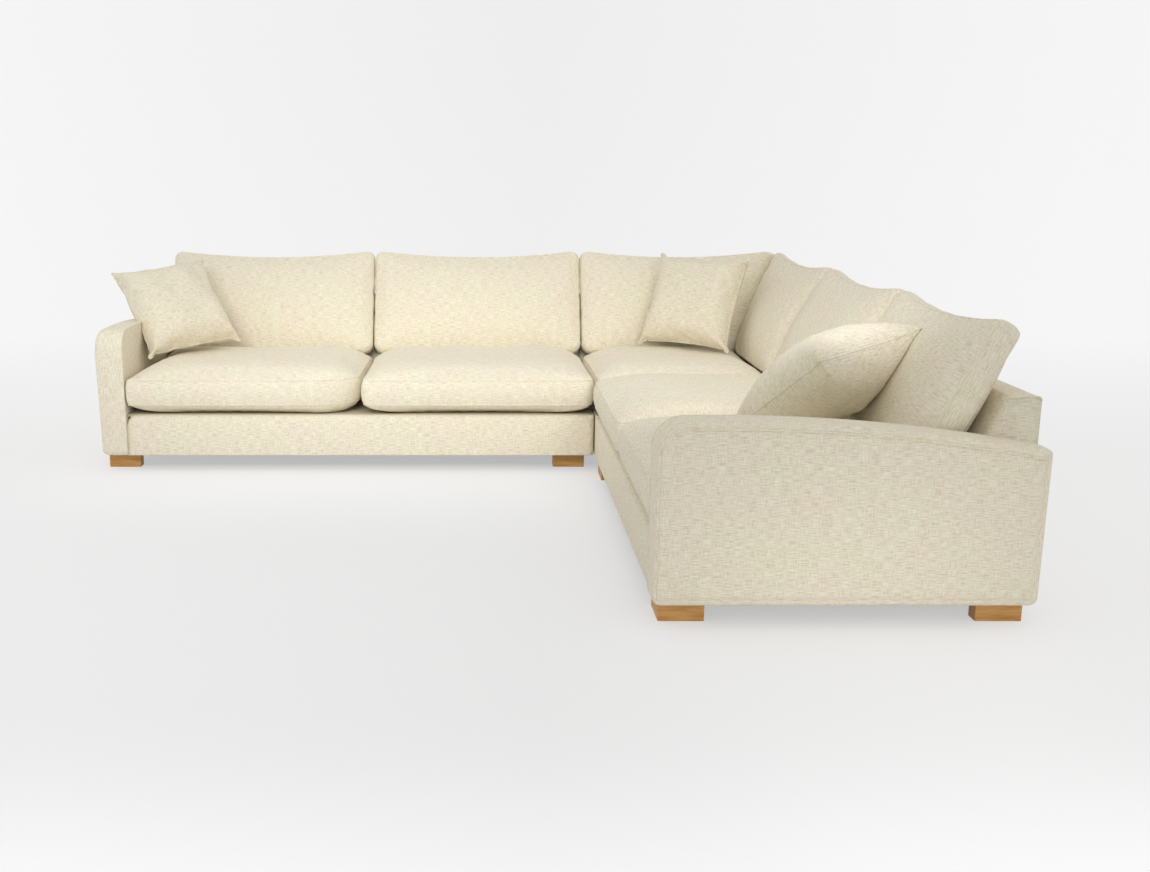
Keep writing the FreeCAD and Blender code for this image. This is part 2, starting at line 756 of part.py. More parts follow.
def corner_section():
    """Every fixed piece of the square corner section, and its three loose cushions."""
    u0 = section_gap
    inside = u0 + skin_thickness
    u1 = depth - border_thickness
    seat_edge = back_face_v(base_top)
    feet = corner_feet()
    bolts = [b for _, places in feet for b in places]
    screws = [(screw_offset, y) for y in plate_places] + [(x, screw_offset) for x in plate_places]
    holes = bolt_holes(bolts) + screw_holes(screws)

    frame = seat_frame(inside, u1, inside, corner_cross_rails)
    second_rail = box(seat_edge, seat_edge + seat_rail_width, inside, u1, frame_bottom, rail_top)
    save("corner_seat_frame", [drill(frame.fuse(second_rail).removeSplitter(), holes)])
    save("corner_seat_springs", seat_springs(inside + rail, seat_edge, inside))
    save("corner_spring_clips", spring_clips(inside + rail, seat_edge, inside))
    save("corner_platform", [platform(inside, seat_edge - play, inside)])
    skin = box(u0, u1, u0, u1, foot_height, base_top).cut(box(inside, depth, inside, depth, 0, depth))
    save("corner_base_cover", [skin])
    save("corner_dust_cover", [drill(dust_cover(inside, u1, inside), holes)])

    hollow = back_cavity(u0 + back_padding, u1)
    hollow = hollow.fuse(swap_uv(hollow))
    half = back_prism(u0, depth).cut(hollow).common(left_of_mitre(0))
    save("corner_back_cover_left", [half])
    save("corner_back_cover_right", [swap_uv(half)])
    side_ribs = back_ribs(u0 + back_padding, seat_edge)
    rails = back_rails(u0 + back_padding, u1)
    timbers = side_ribs + rails
    timbers += [swap_uv(timber) for timber in timbers]
    save("corner_back_frame", [timbers[0].multiFuse(timbers[1:]).removeSplitter()])
    straps = back_webbing(u0 + back_padding, seat_edge)
    save("corner_back_webbing", straps + [swap_uv(strap) for strap in straps])
    save("corner_block_feet", [bored(*foot) for foot in feet])
    save("corner_foot_bolts", foot_bolts(bolts))

    save("corner_seat_cushion", [seat_cushion(cushion_gap, cushion_rear_v, far_end_low=True)])
    first = corner_back_cushion()
    save("corner_back_cushion_left", [first])
    save("corner_back_cushion_right", [swap_uv(first)])


def main():
    os.makedirs("parts", exist_ok=True)
    arm_section("left", to_left, left_seat_width, foot_seen_setback, left_side_setback)
    arm_section("right", to_right, right_seat_width, right_front_setback, foot_seen_setback)
    corner_section()
    save("connector_plates", [connector_plate(*plate) for plate in joint_plates()])
    save("connector_screws", [connector_screw(*place) for place in screw_places()])
    save("scatter_cushion_left", [scatter_cushion(Vec(*left_scatter_centre), *left_scatter_turn)])
    right = scatter_cushion(Vec(*right_scatter_centre), *right_scatter_turn)
    save("scatter_cushion_right", [to_right(to_left(right))])
    save("scatter_cushion_corner", [scatter_cushion(Vec(*corner_scatter_centre), *corner_scatter_turn)])


main()
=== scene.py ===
"""The looks of the corner sofa: cream linen-look cloth, piped cushions, oak feet and a pale studio.

Pieces are made in a wing's own places, in metres: u runs from the corner out to the arm, v from the front
to the back, z up. The left wing is that frame mirrored, the right wing is that frame turned.
"""
import json
import math

import bmesh
import bpy
import numpy as np
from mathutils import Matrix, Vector, noise
from mathutils.bvhtree import BVHTree


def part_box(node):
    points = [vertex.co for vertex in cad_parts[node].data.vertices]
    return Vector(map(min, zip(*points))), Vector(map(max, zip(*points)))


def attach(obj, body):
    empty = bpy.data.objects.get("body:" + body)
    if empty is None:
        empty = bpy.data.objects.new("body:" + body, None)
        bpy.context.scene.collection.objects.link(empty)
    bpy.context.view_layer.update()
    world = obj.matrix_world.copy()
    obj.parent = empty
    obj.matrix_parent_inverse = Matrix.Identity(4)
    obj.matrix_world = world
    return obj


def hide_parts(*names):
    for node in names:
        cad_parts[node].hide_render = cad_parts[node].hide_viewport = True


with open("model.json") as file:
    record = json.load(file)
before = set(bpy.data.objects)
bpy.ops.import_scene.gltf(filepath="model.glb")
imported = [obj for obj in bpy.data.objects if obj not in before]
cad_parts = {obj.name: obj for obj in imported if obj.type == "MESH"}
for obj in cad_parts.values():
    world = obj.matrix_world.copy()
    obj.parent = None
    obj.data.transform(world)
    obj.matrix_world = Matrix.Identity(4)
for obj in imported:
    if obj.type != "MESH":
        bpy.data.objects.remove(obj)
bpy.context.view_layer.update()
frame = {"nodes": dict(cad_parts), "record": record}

# Sizes of the sofa, in metres
depth = 1.080
arm_width = 0.106
left_seat = 0.995
right_seat = 0.885
section_gap = 0.003
base_bottom = 0.065
base_top = 0.238
back_top = 0.650
back_thickness = 0.083
back_lean = math.radians(27.0)
border_thickness = 0.025
side_skin = 0.005
cushion_gap = 0.003
left_wing_end = 2 * left_seat
right_wing_end = 2 * right_seat

# Where the inner corner of the seats' fronts stands in the row frame
corner_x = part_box("left_base_cover")[1].x + section_gap
corner_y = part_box("right_base_cover")[1].y + section_gap


def to_left(p):
    """From the left wing's own places to the row frame."""
    return np.stack([corner_x - p[..., 0], corner_y + p[..., 1], p[..., 2]], axis=-1)


def to_right(p):
    """From the right wing's own places to the row frame."""
    return np.stack([corner_x + p[..., 1], corner_y - p[..., 0], p[..., 2]], axis=-1)


def to_corner(p):
    """From the corner's own places to the row frame, with u to the right and v to the back."""
    return np.stack([corner_x + p[..., 0], corner_y + p[..., 1], p[..., 2]], axis=-1)


def to_corner_swapped(p):
    """The same, mirrored across the corner's diagonal."""
    return np.stack([corner_x + p[..., 1], corner_y + p[..., 0], p[..., 2]], axis=-1)


def in_row(p):
    """For places that are in the row frame already."""
    return p


# Lines and grids


def spaced(count, crowd=0.5):
    """Shares from 0 to 1, closer together at both ends, where a seam pulls the cloth in."""
    s = np.linspace(0, 1, count + 1)
    return s - crowd * np.sin(2 * np.pi * s) / (2 * np.pi)


def lengths(line):
    """How far along a line each of its points is."""
    return np.concatenate(([0.0], np.cumsum(np.linalg.norm(np.diff(line, axis=0), axis=1))))


def resample(line, shares):
    """Points at the given shares of a line's length."""
    along = lengths(line)
    wanted = np.asarray(shares) * along[-1]
    return np.stack([np.interp(wanted, along, line[:, k]) for k in range(line.shape[1])], axis=1)


def arc_through(p, q, r, count=24):
    """Points of the round arc from p through q to r, in a plane."""
    p, q, r = (np.array(x, float) for x in (p, q, r))
    a, b = q - p, r - p
    cross = 2.0 * (a[0] * b[1] - a[1] * b[0])
    offset = np.array([b[1] * (a @ a) - a[1] * (b @ b), a[0] * (b @ b) - b[0] * (a @ a)]) / cross
    centre = p + offset
    start, middle, end = (math.atan2(*(x - centre)[::-1]) for x in (p, q, r))
    turn = (end - start) % (2 * math.pi)
    if (middle - start) % (2 * math.pi) > turn:
        turn -= 2 * math.pi
    angles = start + turn * np.linspace(0.0, 1.0, count)
    return centre + np.hypot(*offset) * np.stack([np.cos(angles), np.sin(angles)], axis=1)


def quarter(centre, radii, start, end, count=16):
    """Points of an ellipse's arc, with its angles in degrees."""
    angles = np.radians(np.linspace(start, end, count))
    return np.stack([centre[0] + radii[0] * np.cos(angles), centre[1] + radii[1] * np.sin(angles)], axis=1)


def rounded(points, radii, count=8):
    """A closed polygon with each corner rounded to its radius. The first point is repeated at the end."""
    line = []
    for k, point in enumerate(points):
        here = np.array(point, float)
        before = np.array(points[k - 1], float) - here
        after = np.array(points[(k + 1) % len(points)], float) - here
        before /= np.linalg.norm(before)
        after /= np.linalg.norm(after)
        if radii[k] == 0:
            line.append(here)
            continue
        half = math.acos(np.clip(before @ after, -1, 1)) / 2
        reach = radii[k] / math.tan(half)
        inwards = (before + after) / np.linalg.norm(before + after)
        middle = here + inwards * (radii[k] / math.sin(half) - radii[k])
        line.extend(arc_through(here + before * reach, middle, here + after * reach, count))
    return np.array(line + [line[0]])


def fill_between(sides):
    """A grid over the room inside four sides that run round it anticlockwise."""
    front, right, rear, left = sides
    rear, left = rear[::-1], left[::-1]
    s = spaced(len(front) - 1)[:, None, None]
    t = spaced(len(left) - 1)[None, :, None]
    across = (1 - t) * front[:, None] + t * rear[:, None]
    along = (1 - s) * left[None] + s * right[None]
    corners = ((1 - s) * (1 - t) * front[0] + s * (1 - t) * front[-1]
               + (1 - s) * t * rear[0] + s * t * rear[-1])
    return across + along - corners


def closed_loop(sides):
    """One line round all the sides, with its first point again at its end."""
    return np.concatenate([side[:-1] for side in sides] + [sides[0][:1]])


def rim_of(grid):
    """True along the outer rows and columns of a grid."""
    rim = np.zeros(grid.shape[:2], bool)
    rim[[0, -1], :] = True
    rim[:, [0, -1]] = True
    return rim


def flat_grid(low, high, columns=50, rows=40):
    """A grid of plane points over a box in the row frame."""
    x = np.linspace(low.x, high.x, columns)
    y = np.linspace(low.y, high.y, rows)
    return np.stack(np.meshgrid(x, y, indexing="ij"), axis=-1)


def shoulder(distance, reach, power, roundness):
    """0 at a seam, rising as a round shoulder to 1 at reach from it."""
    return (1.0 - (1.0 - np.clip(distance / reach, 0.0, 1.0)) ** power) ** roundness


def pillow(grid, reaches, power=2.3, roundness=1.0):
    """How full a panel is over a grid: 0 along its seams and 1 beyond the reach of each.

    reaches are those of the front, right, rear and left seam.
    """
    seams = (grid[:, :1], grid[-1:], grid[:, -1:], grid[:1])
    full = np.ones(grid.shape[:2])
    for seam, reach in zip(seams, reaches):
        full = full * shoulder(np.linalg.norm(grid - seam, axis=2), reach, power, roundness)
    return full


def unevenness(grid, size, seed):
    """Smooth noise between about -1 and 1 over a grid of plane points, with lumps of the given size."""
    flat = grid.reshape(-1, 2)
    values = [noise.noise(Vector((x / size, y / size, seed))) for x, y in flat]
    return np.array(values).reshape(grid.shape[:2]) * 2.0


# Meshes

weld_distance = 1e-5


def place_object(name, data):
    """A new object in the scene for a mesh, a lamp or a lens."""
    made = bpy.data.objects.new(name, data)
    bpy.context.scene.collection.objects.link(made)
    return made


class Surface:
    """Grids and faces of one piece, with the place of each point on the cloth that covers it, in metres."""

    def __init__(self):
        self.points = []
        self.cloth = []
        self.seam = []
        self.faces = []
        self.count = 0

    def add(self, points, cloth, seam):
        first = self.count
        self.points.append(points.reshape(-1, 3))
        self.cloth.append(cloth.reshape(-1, 2))
        self.seam.append(np.broadcast_to(seam, points.shape[:-1]).reshape(-1))
        self.count += len(self.points[-1])
        return first

    def grid(self, points, cloth, seam=False):
        first = self.add(points, cloth, seam)
        rows, columns = points.shape[:2]
        for i in range(rows - 1):
            for j in range(columns - 1):
                a = first + i * columns + j
                self.faces.append((a, a + columns, a + columns + 1, a + 1))

    def polygon(self, points, cloth):
        first = self.add(points, cloth, False)
        self.faces.append(tuple(range(first, first + len(points))))

    def build(self, name, to_row):
        """The welded mesh object, in the row frame, with its seams marked."""
        places = to_row(np.concatenate(self.points))
        cloth = np.concatenate(self.cloth)
        seam = np.concatenate(self.seam)
        mesh = bpy.data.meshes.new(name)
        mesh.from_pydata(places.tolist(), [], self.faces)
        layer = mesh.uv_layers.new(name="cloth")
        corners = np.zeros(len(mesh.loops), int)
        mesh.loops.foreach_get("vertex_index", corners)
        layer.data.foreach_set("uv", cloth[corners].astype(np.float32).ravel())
        work = bmesh.new()
        work.from_mesh(mesh)
        mark = work.verts.layers.int.new("seam")
        work.verts.ensure_lookup_table()
        for vertex, on_seam in zip(work.verts, seam):
            vertex[mark] = int(on_seam)
        bmesh.ops.remove_doubles(work, verts=work.verts, dist=weld_distance)
        bmesh.ops.recalc_face_normals(work, faces=work.faces)
        work.to_mesh(mesh)
        work.free()
        mesh.shade_smooth()
        return place_object(name, mesh)


def soft_block(sides_at, rows, low, high, low_swell, high_swell):
    """Two panels joined by a band: a cushion or an arm.

    sides_at(inset) gives the outline's four sides, drawn in by inset. rows are (inset, share) from the low
    seam to the high one. low and high give a seam's height over a place, and each swell how far a panel
    stands out from its seams over a grid. Returns the surface, the low seam and the high seam.
    """
    surface = Surface()
    loops = []
    panels = ((low, low_swell, -1.0, rows[0][0]), (high, high_swell, 1.0, rows[-1][0]))
    for panel, swell, way, inset in panels:
        sides = sides_at(inset)
        plan = fill_between(sides)
        surface.grid(np.dstack([plan, panel(plan) + way * swell(plan)]), plan, rim_of(plan))
        loop = closed_loop(sides)
        loops.append(np.column_stack([loop, panel(loop)]))
    band = []
    for inset, share in rows:
        plan = closed_loop(sides_at(inset))
        band.append(np.column_stack([plan, low(plan) * (1 - share) + high(plan) * share]))
    band = np.array(band)
    along = np.broadcast_to(lengths(band[0]), band.shape[:2])
    rise = np.linalg.norm(np.diff(band, axis=0), axis=2)
    across = np.concatenate([np.zeros((1, band.shape[1])), np.cumsum(rise, axis=0)])
    edge = np.zeros(band.shape[:2], bool)
    edge[[0, -1]] = True
    surface.grid(band, np.dstack([along, across]), edge)
    return surface, loops[0], loops[1]


def tube(surface, line, radius, sides=8, closed=True):
    """A round cord along a line that lies nearly in a plane."""
    middle = line.mean(axis=0)
    normal = np.linalg.svd(line - middle)[2][2]
    if closed:
        ahead = np.roll(line[:-1], -1, axis=0) - np.roll(line[:-1], 1, axis=0)
        ahead = np.concatenate([ahead, ahead[:1]])
    else:
        ahead = np.gradient(line, axis=0)
    ahead /= np.linalg.norm(ahead, axis=1)[:, None]
    up = normal - (ahead @ normal)[:, None] * ahead
    up /= np.linalg.norm(up, axis=1)[:, None]
    side = np.cross(ahead, up)
    angles = np.linspace(0, 2 * math.pi, sides + 1)
    ring = np.cos(angles)[None, :, None] * up[:, None] + np.sin(angles)[None, :, None] * side[:, None]
    points = line[:, None] + radius * ring
    along = np.broadcast_to(lengths(line)[:, None], points.shape[:2])
    around = np.broadcast_to(angles[None] * radius, points.shape[:2])
    cloth = np.dstack([along, around])
    surface.grid(points, cloth)
    if not closed:
        for end in (0, -1):
            surface.polygon(points[end, :-1], cloth[end, :-1])


def places_of(mesh):
    places = np.zeros(len(mesh.vertices) * 3, np.float32)
    mesh.vertices.foreach_get("co", places)
    return places.reshape(-1, 3).astype(float)


def put_places(piece, places):
    piece.data.vertices.foreach_set("co", places.astype(np.float32).ravel())
    piece.data.update()


def nearest_points(piece, line):
    """The vertex of the piece that is nearest to each point of a line."""
    places = places_of(piece.data)
    return [int(np.argmin(((places - point) ** 2).sum(axis=1))) for point in line]


def let_filling_push(covers, steps=20):
    """Cloth simulation: the filling presses all covers out at once. Pinned seams hold their place."""
    before = {}
    for cover in covers:
        piece = cover["piece"]
        before[piece.name] = places_of(piece.data)
        cloth = piece.modifiers.new("filling", "CLOTH")
        cloth.settings.quality = 4
        cloth.settings.mass = 0.3
        cloth.settings.tension_stiffness = cover["stiffness"]
        cloth.settings.compression_stiffness = cover["stiffness"]
        cloth.settings.shear_stiffness = cover["stiffness"] / 3
        cloth.settings.bending_stiffness = 0.5
        cloth.settings.air_damping = 4.0
        cloth.settings.use_pressure = True
        cloth.settings.uniform_pressure_force = cover["pressure"]
        cloth.settings.shrink_min = -cover["spare"]
        cloth.settings.effector_weights.gravity = 0.0
        cloth.point_cache.frame_start = 1
        cloth.point_cache.frame_end = steps
        if cover["pinned"]:
            mark = [int(i) for i in np.nonzero(cover["on_seam"])[0]]
            group = piece.vertex_groups.new(name="seam")
            group.add(mark, 1.0, "REPLACE")
            cloth.settings.vertex_group_mass = "seam"
            cloth.settings.pin_stiffness = 1.0
    scene = bpy.context.scene
    for step in range(1, steps + 1):
        scene.frame_set(step)
    graph = bpy.context.evaluated_depsgraph_get()
    for cover in covers:
        piece = cover["piece"]
        mesh = bpy.data.meshes.new_from_object(piece.evaluated_get(graph))
        move = places_of(mesh) - before[piece.name]
        bpy.data.meshes.remove(mesh)
        far = np.linalg.norm(move, axis=1)[:, None]
        move *= np.minimum(1.0, cover["cap"] / np.maximum(far, 1e-9))
        cover["after"] = before[piece.name] + move
    for cover in covers:
        cover["piece"].modifiers.clear()
        cover["piece"].vertex_groups.clear()
        put_places(cover["piece"], cover["after"])
    scene.frame_set(1)


def press_off(piece, others, gap=0.002, depth_limit=0.07):
    """Flattens a soft piece where it rests on the others, so that it stays just clear of them.

    Places further than depth_limit from a surface are not taken to be inside it.
    """
    places = places_of(piece.data)
    for other in others:
        mesh = other.data
        tree = BVHTree.FromPolygons([v.co for v in mesh.vertices], [f.vertices for f in mesh.polygons])
        low = places_of(mesh).min(axis=0) - gap
        high = places_of(mesh).max(axis=0) + gap
        near = np.nonzero(((places > low) & (places < high)).all(axis=1))[0]
        for k in near:
            spot, normal, _, distance = tree.find_nearest(Vector(places[k]))
            if spot is None or distance > depth_limit:
                continue
            if (Vector(places[k]) - spot).dot(normal) < gap:
                places[k] = spot + normal * gap
    put_places(piece, places)


def finish_piece(piece, body, slot, replaced=()):
    """Gives a piece its material and body, and hides the CAD nodes it stands for."""
    piece.data.materials.clear()
    piece.data.materials.append(materials[slot])
    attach(piece, body)
    if replaced:
        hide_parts(*replaced)


def smooth_cloth(piece):
    """Divides and smooths the faces of a piece, and keeps its seams where they are."""
    work = bmesh.new()
    work.from_mesh(piece.data)
    mark = work.verts.layers.int["seam"]
    crease = work.edges.layers.float.get("crease_edge") or work.edges.layers.float.new("crease_edge")
    for edge in work.edges:
        if edge.verts[0][mark] and edge.verts[1][mark]:
            edge[crease] = 1.0
    work.to_mesh(piece.data)
    work.free()
    smooth = piece.modifiers.new("smooth", "SUBSURF")
    smooth.levels = 1
    graph = bpy.context.evaluated_depsgraph_get()
    mesh = bpy.data.meshes.new_from_object(piece.evaluated_get(graph))
    piece.modifiers.clear()
    piece.data = mesh


# Materials


def linear(colour):
    """An sRGB hex colour as linear numbers."""
    parts = [int(colour[k:k + 2], 16) / 255 for k in (1, 3, 5)]
    return tuple(c / 12.92 if c <= 0.04045 else ((c + 0.055) / 1.055) ** 2.4 for c in parts) + (1.0,)


def add_node(tree, kind, inputs=None, **settings):
    """A node with its settings, and for each named input a value or the output that feeds it."""
    made = tree.nodes.new("ShaderNode" + kind)
    for name, value in settings.items():
        setattr(made, name, value)
    for name, value in (inputs or {}).items():
        if isinstance(value, bpy.types.NodeSocket):
            tree.links.new(value, made.inputs[name])
        else:
            made.inputs[name].default_value = value
    return made


def new_material(name):
    material = bpy.data.materials.new(name)
    material.use_nodes = True
    material.node_tree.nodes.clear()
    return material, material.node_tree


def set_ramp(ramp, stops):
    elements = ramp.color_ramp.elements
    while len(elements) < len(stops):
        elements.new(0.5)
    for element, (position, colour) in zip(elements, stops):
        element.position = position
        element.color = linear(colour)


def place_on_cloth(tree, from_cloth):
    """Where a point lies on the flat cloth or board, or in the frame of its own object."""
    if from_cloth:
        return add_node(tree, "UVMap", uv_map="cloth").outputs["UV"]
    return add_node(tree, "TexCoord").outputs["Object"]


rosy = "#FFF3F0"
greenish = "#F8FFEC"


def weave(name, shades, from_cloth=True, thread=0.0022, slub=0.030):
    """Linen-look cloth of flax and viscose: matt, with uneven threads both ways, the thick ones paler.

    Its real threads are about 1 mm wide, and are drawn 2.2 mm wide, coarse enough to show. shades go from
    the gaps to the slubs. The dye drifts a quarter of the way to a rosy and a greenish shade, in clouds
    some 140 mm wide. The threads stand up 0.8 mm.
    """
    clouds_to_the_metre = 7.0
    drift = 0.25
    relief = 0.0008
    material, tree = new_material(name)
    place = place_on_cloth(tree, from_cloth)
    threads = []
    for scale in ((1 / thread, 1 / slub, 1.0), (1 / slub, 1 / thread, 1.0)):
        stretched = add_node(tree, "Mapping", {"Vector": place, "Scale": scale})
        threads.append(add_node(tree, "TexNoise", {"Vector": stretched.outputs["Vector"], "Scale": 1.0,
                                                   "Detail": 1.5, "Roughness": 0.6}, noise_dimensions="2D"))
    both = add_node(tree, "MixRGB", {"Fac": 0.62, "Color1": threads[0].outputs["Fac"],
                                     "Color2": threads[1].outputs["Fac"]})
    spread = add_node(tree, "MapRange", {"Value": both.outputs["Color"], "From Min": 0.36, "From Max": 0.64})
    ramp = add_node(tree, "ValToRGB", {"Fac": spread.outputs["Result"]})
    set_ramp(ramp, list(zip((0.0, 0.5, 1.0), shades)))
    cloud = add_node(tree, "TexNoise", {"Vector": place, "Scale": clouds_to_the_metre, "Detail": 1.0},
                     noise_dimensions="2D")
    hue = add_node(tree, "ValToRGB", {"Fac": cloud.outputs["Fac"]})
    set_ramp(hue, [(0.30, rosy), (0.70, greenish)])
    dyed = add_node(tree, "MixRGB", {"Fac": drift, "Color1": ramp.outputs["Color"],
                                     "Color2": hue.outputs["Color"]}, blend_type="MULTIPLY")
    bump = add_node(tree, "Bump", {"Height": both.outputs["Color"], "Strength": 0.5, "Distance": relief})
    shader = add_node(tree, "BsdfPrincipled", {"Base Color": dyed.outputs["Color"], "Roughness": 0.92,
                                               "Specular IOR Level": 0.25, "Sheen Weight": 0.1,
                                               "Sheen Roughness": 0.5, "Normal": bump.outputs["Normal"]})
    add_node(tree, "OutputMaterial", {"Surface": shader.outputs["BSDF"]})
    return material


def timber(name, shades, from_cloth, roughness=0.5):
    """Wood with its grain along the first coordinate: long pale and dark streaks and fine pores.

    Its streaks are 2.2 mm wide and 70 mm long, over broader bands of 17 by 125 mm.
    """
    grain, run = 0.0022, 0.07
    material, tree = new_material(name)
    place = place_on_cloth(tree, from_cloth)
    streaks = add_node(tree, "Mapping", {"Vector": place, "Scale": (1 / run, 1 / grain, 1 / grain)})
    figure = add_node(tree, "TexNoise", {"Vector": streaks.outputs["Vector"], "Scale": 1.0, "Detail": 4.0,
                                         "Distortion": 0.4})
    broad = add_node(tree, "Mapping", {"Vector": place, "Scale": (8.0, 60.0, 60.0)})
    bands = add_node(tree, "TexNoise", {"Vector": broad.outputs["Vector"], "Scale": 1.0, "Detail": 2.0})
    mixed = add_node(tree, "Math", {0: figure.outputs["Fac"], 1: bands.outputs["Fac"]}, operation="ADD")
    spread = add_node(tree, "MapRange", {"Value": mixed.outputs["Value"], "From Min": 0.75, "From Max": 1.3})
    ramp = add_node(tree, "ValToRGB", {"Fac": spread.outputs["Result"]})
    set_ramp(ramp, list(zip((0.0, 0.5, 1.0), shades)))
    bump = add_node(tree, "Bump", {"Height": figure.outputs["Fac"], "Strength": 0.3, "Distance": 0.0004})
    shader = add_node(tree, "BsdfPrincipled", {"Base Color": ramp.outputs["Color"], "Roughness": roughness,
                                               "Normal": bump.outputs["Normal"]})
    add_node(tree, "OutputMaterial", {"Surface": shader.outputs["BSDF"]})
    return material


def zinc_plate(name):
    """Zinc-plated steel: a bright grey metal, mottled where the plating has dulled."""
    material, tree = new_material(name)
    place = place_on_cloth(tree, False)
    mottle = add_node(tree, "TexNoise", {"Vector": place, "Scale": 220.0, "Detail": 3.0})
    dull = add_node(tree, "MapRange", {"Value": mottle.outputs["Fac"], "To Min": 0.3, "To Max": 0.5})
    shader = add_node(tree, "BsdfPrincipled", {"Base Color": linear("#C2C4C6"), "Metallic": 1.0,
                                               "Roughness": dull.outputs["Result"]})
    add_node(tree, "OutputMaterial", {"Surface": shader.outputs["BSDF"]})
    return material


cream = ("#DCD2BB", "#EEE6D1", "#F7F2E3")
materials = {
    "upholstery": weave("cream_linen_fixed", cream),
    "cushion_fabric": weave("cream_linen_cushions", cream),
    "scatter_fabric": weave("cream_linen_scatter", ("#D8CEB7", "#EBE3CE", "#F4EFE0")),
    "platform_cloth": weave("calico_deck", ("#C9C0A9", "#D3CAB4", "#DCD4C0"), from_cloth=False,
                            thread=0.0012),
    "dust_cloth": weave("black_underlining", ("#17171A", "#1E1E21", "#26262A"), from_cloth=False, slub=0.004),
    "webbing": weave("elastic_webbing", ("#4A4038", "#5C5046", "#6F6155"), from_cloth=False, slub=0.01),
    "oak": timber("lacquered_oak", ("#B8823F", "#D09C57", "#DFB074"), from_cloth=True),
    "hardwood": timber("sawn_beech", ("#A8865A", "#C2A276", "#D4B88E"), from_cloth=False, roughness=0.8),
    "steel": zinc_plate("zinc_plate"),
}


def dress_cad_nodes():
    """Gives each CAD node that stays visible the material of its slot."""
    for part in frame["record"]["subparts"]:
        node = frame["nodes"][part["node"]]
        node.data.materials.clear()
        node.data.materials.append(materials[part["material_slot"]])


# Cushions

# Radii of the piping
seat_piping = 0.0030
back_piping = 0.0018
scatter_piping = 0.0022

# The size of a cover's faces, and how far cloth stands up beside its piping, over what width
cell = 0.0145
seam_lip = 0.007
lip_reach = 0.016


def rectangle_sides(low, high, radii, draw, inset):
    """Four sides of a rounded rectangle, each from the middle of one corner to the middle of the next.

    radii are those of the corners from the low one on, anticlockwise, as (along a, along b). draw is how
    far the middle of the front, right, rear and left side is drawn in.
    """
    a0, b0 = low[0] + inset, low[1] + inset
    a1, b1 = high[0] - inset, high[1] - inset
    r = [(max(ra - inset, 0.002), max(rb - inset, 0.002)) for ra, rb in radii]
    c = [(a0 + r[0][0], b0 + r[0][1]), (a1 - r[1][0], b0 + r[1][1]),
         (a1 - r[2][0], b1 - r[2][1]), (a0 + r[3][0], b1 - r[3][1])]
    across = max(8, round((high[0] - low[0]) / cell))
    along = max(8, round((high[1] - low[1]) / cell))
    inwards = ((0, 1), (-1, 0), (0, -1), (1, 0))
    sides = []
    for k, count in enumerate((across, along, across, along)):
        n = (k + 1) % 4
        turn = 90 * k
        line = np.concatenate([quarter(c[k], r[k], 225 + turn, 270 + turn),
                               quarter(c[n], r[n], 270 + turn, 315 + turn)])
        line = resample(line, spaced(count))
        p = spaced(count)[:, None]
        sides.append(line + draw[k] * (1 - (2 * p - 1) ** 2) * np.array(inwards[k], float))
    return sides


def bulged_rows(bulge, count):
    """Rows of a band whose seams lie bulge inside its fullest line, steeply at both seams."""
    return [(bulge * abs(2 * share - 1) ** 4, share) for share in spaced(count)]


def lip(grid):
    """How far a panel stands up right beside its piping."""
    return seam_lip * pillow(grid, (lip_reach,) * 4, 2.0, 0.6)


def sewn_cover(name, surface, seams, to_row, slot, fill, pressure=4.0, cap=0.008, spare=0.01,
               stiffness=12.0, pinned=True):
    """A cushion's cover before its filling is in, with what the simulation needs.

    cap is how far the filling may push any place, spare is the cloth's extra length as a share, and pinned
    covers keep their seams where they are.
    """
    piece = surface.build(name + "_cloth", to_row)
    work = bmesh.new()
    work.from_mesh(piece.data)
    mark = work.verts.layers.int["seam"]
    on_seam = np.array([vertex[mark] for vertex in work.verts])
    work.free()
    lines = [nearest_points(piece, to_row(seam)) for seam in seams]
    return {"name": name, "piece": piece, "lines": lines, "slot": slot, "fill": fill, "pressure": pressure,
            "cap": cap, "spare": spare, "stiffness": stiffness, "pinned": pinned, "on_seam": on_seam}


def close_cover(made, radius):
    """Smooths a filled cover, sews its piping on and ties both to the cushion's body."""
    piece = made["piece"]
    cords = Surface()
    places = places_of(piece.data)
    for line in made["lines"]:
        tube(cords, places[line], radius)
    piping = cords.build(made["name"] + "_piping", in_row)
    smooth_cloth(piece)
    finish_piece(piece, made["name"], made["slot"], [made["name"]])
    finish_piece(piping, made["name"], made["slot"])


# Seat cushions, in a wing's places
seat_front = -0.013
seat_rear = 0.765
seat_low_seam = 0.286
seat_high_seam = 0.390
seat_rear_seam = 0.374
seat_crown = 0.440
seat_bottom = 0.2400
seat_bulge = 0.009


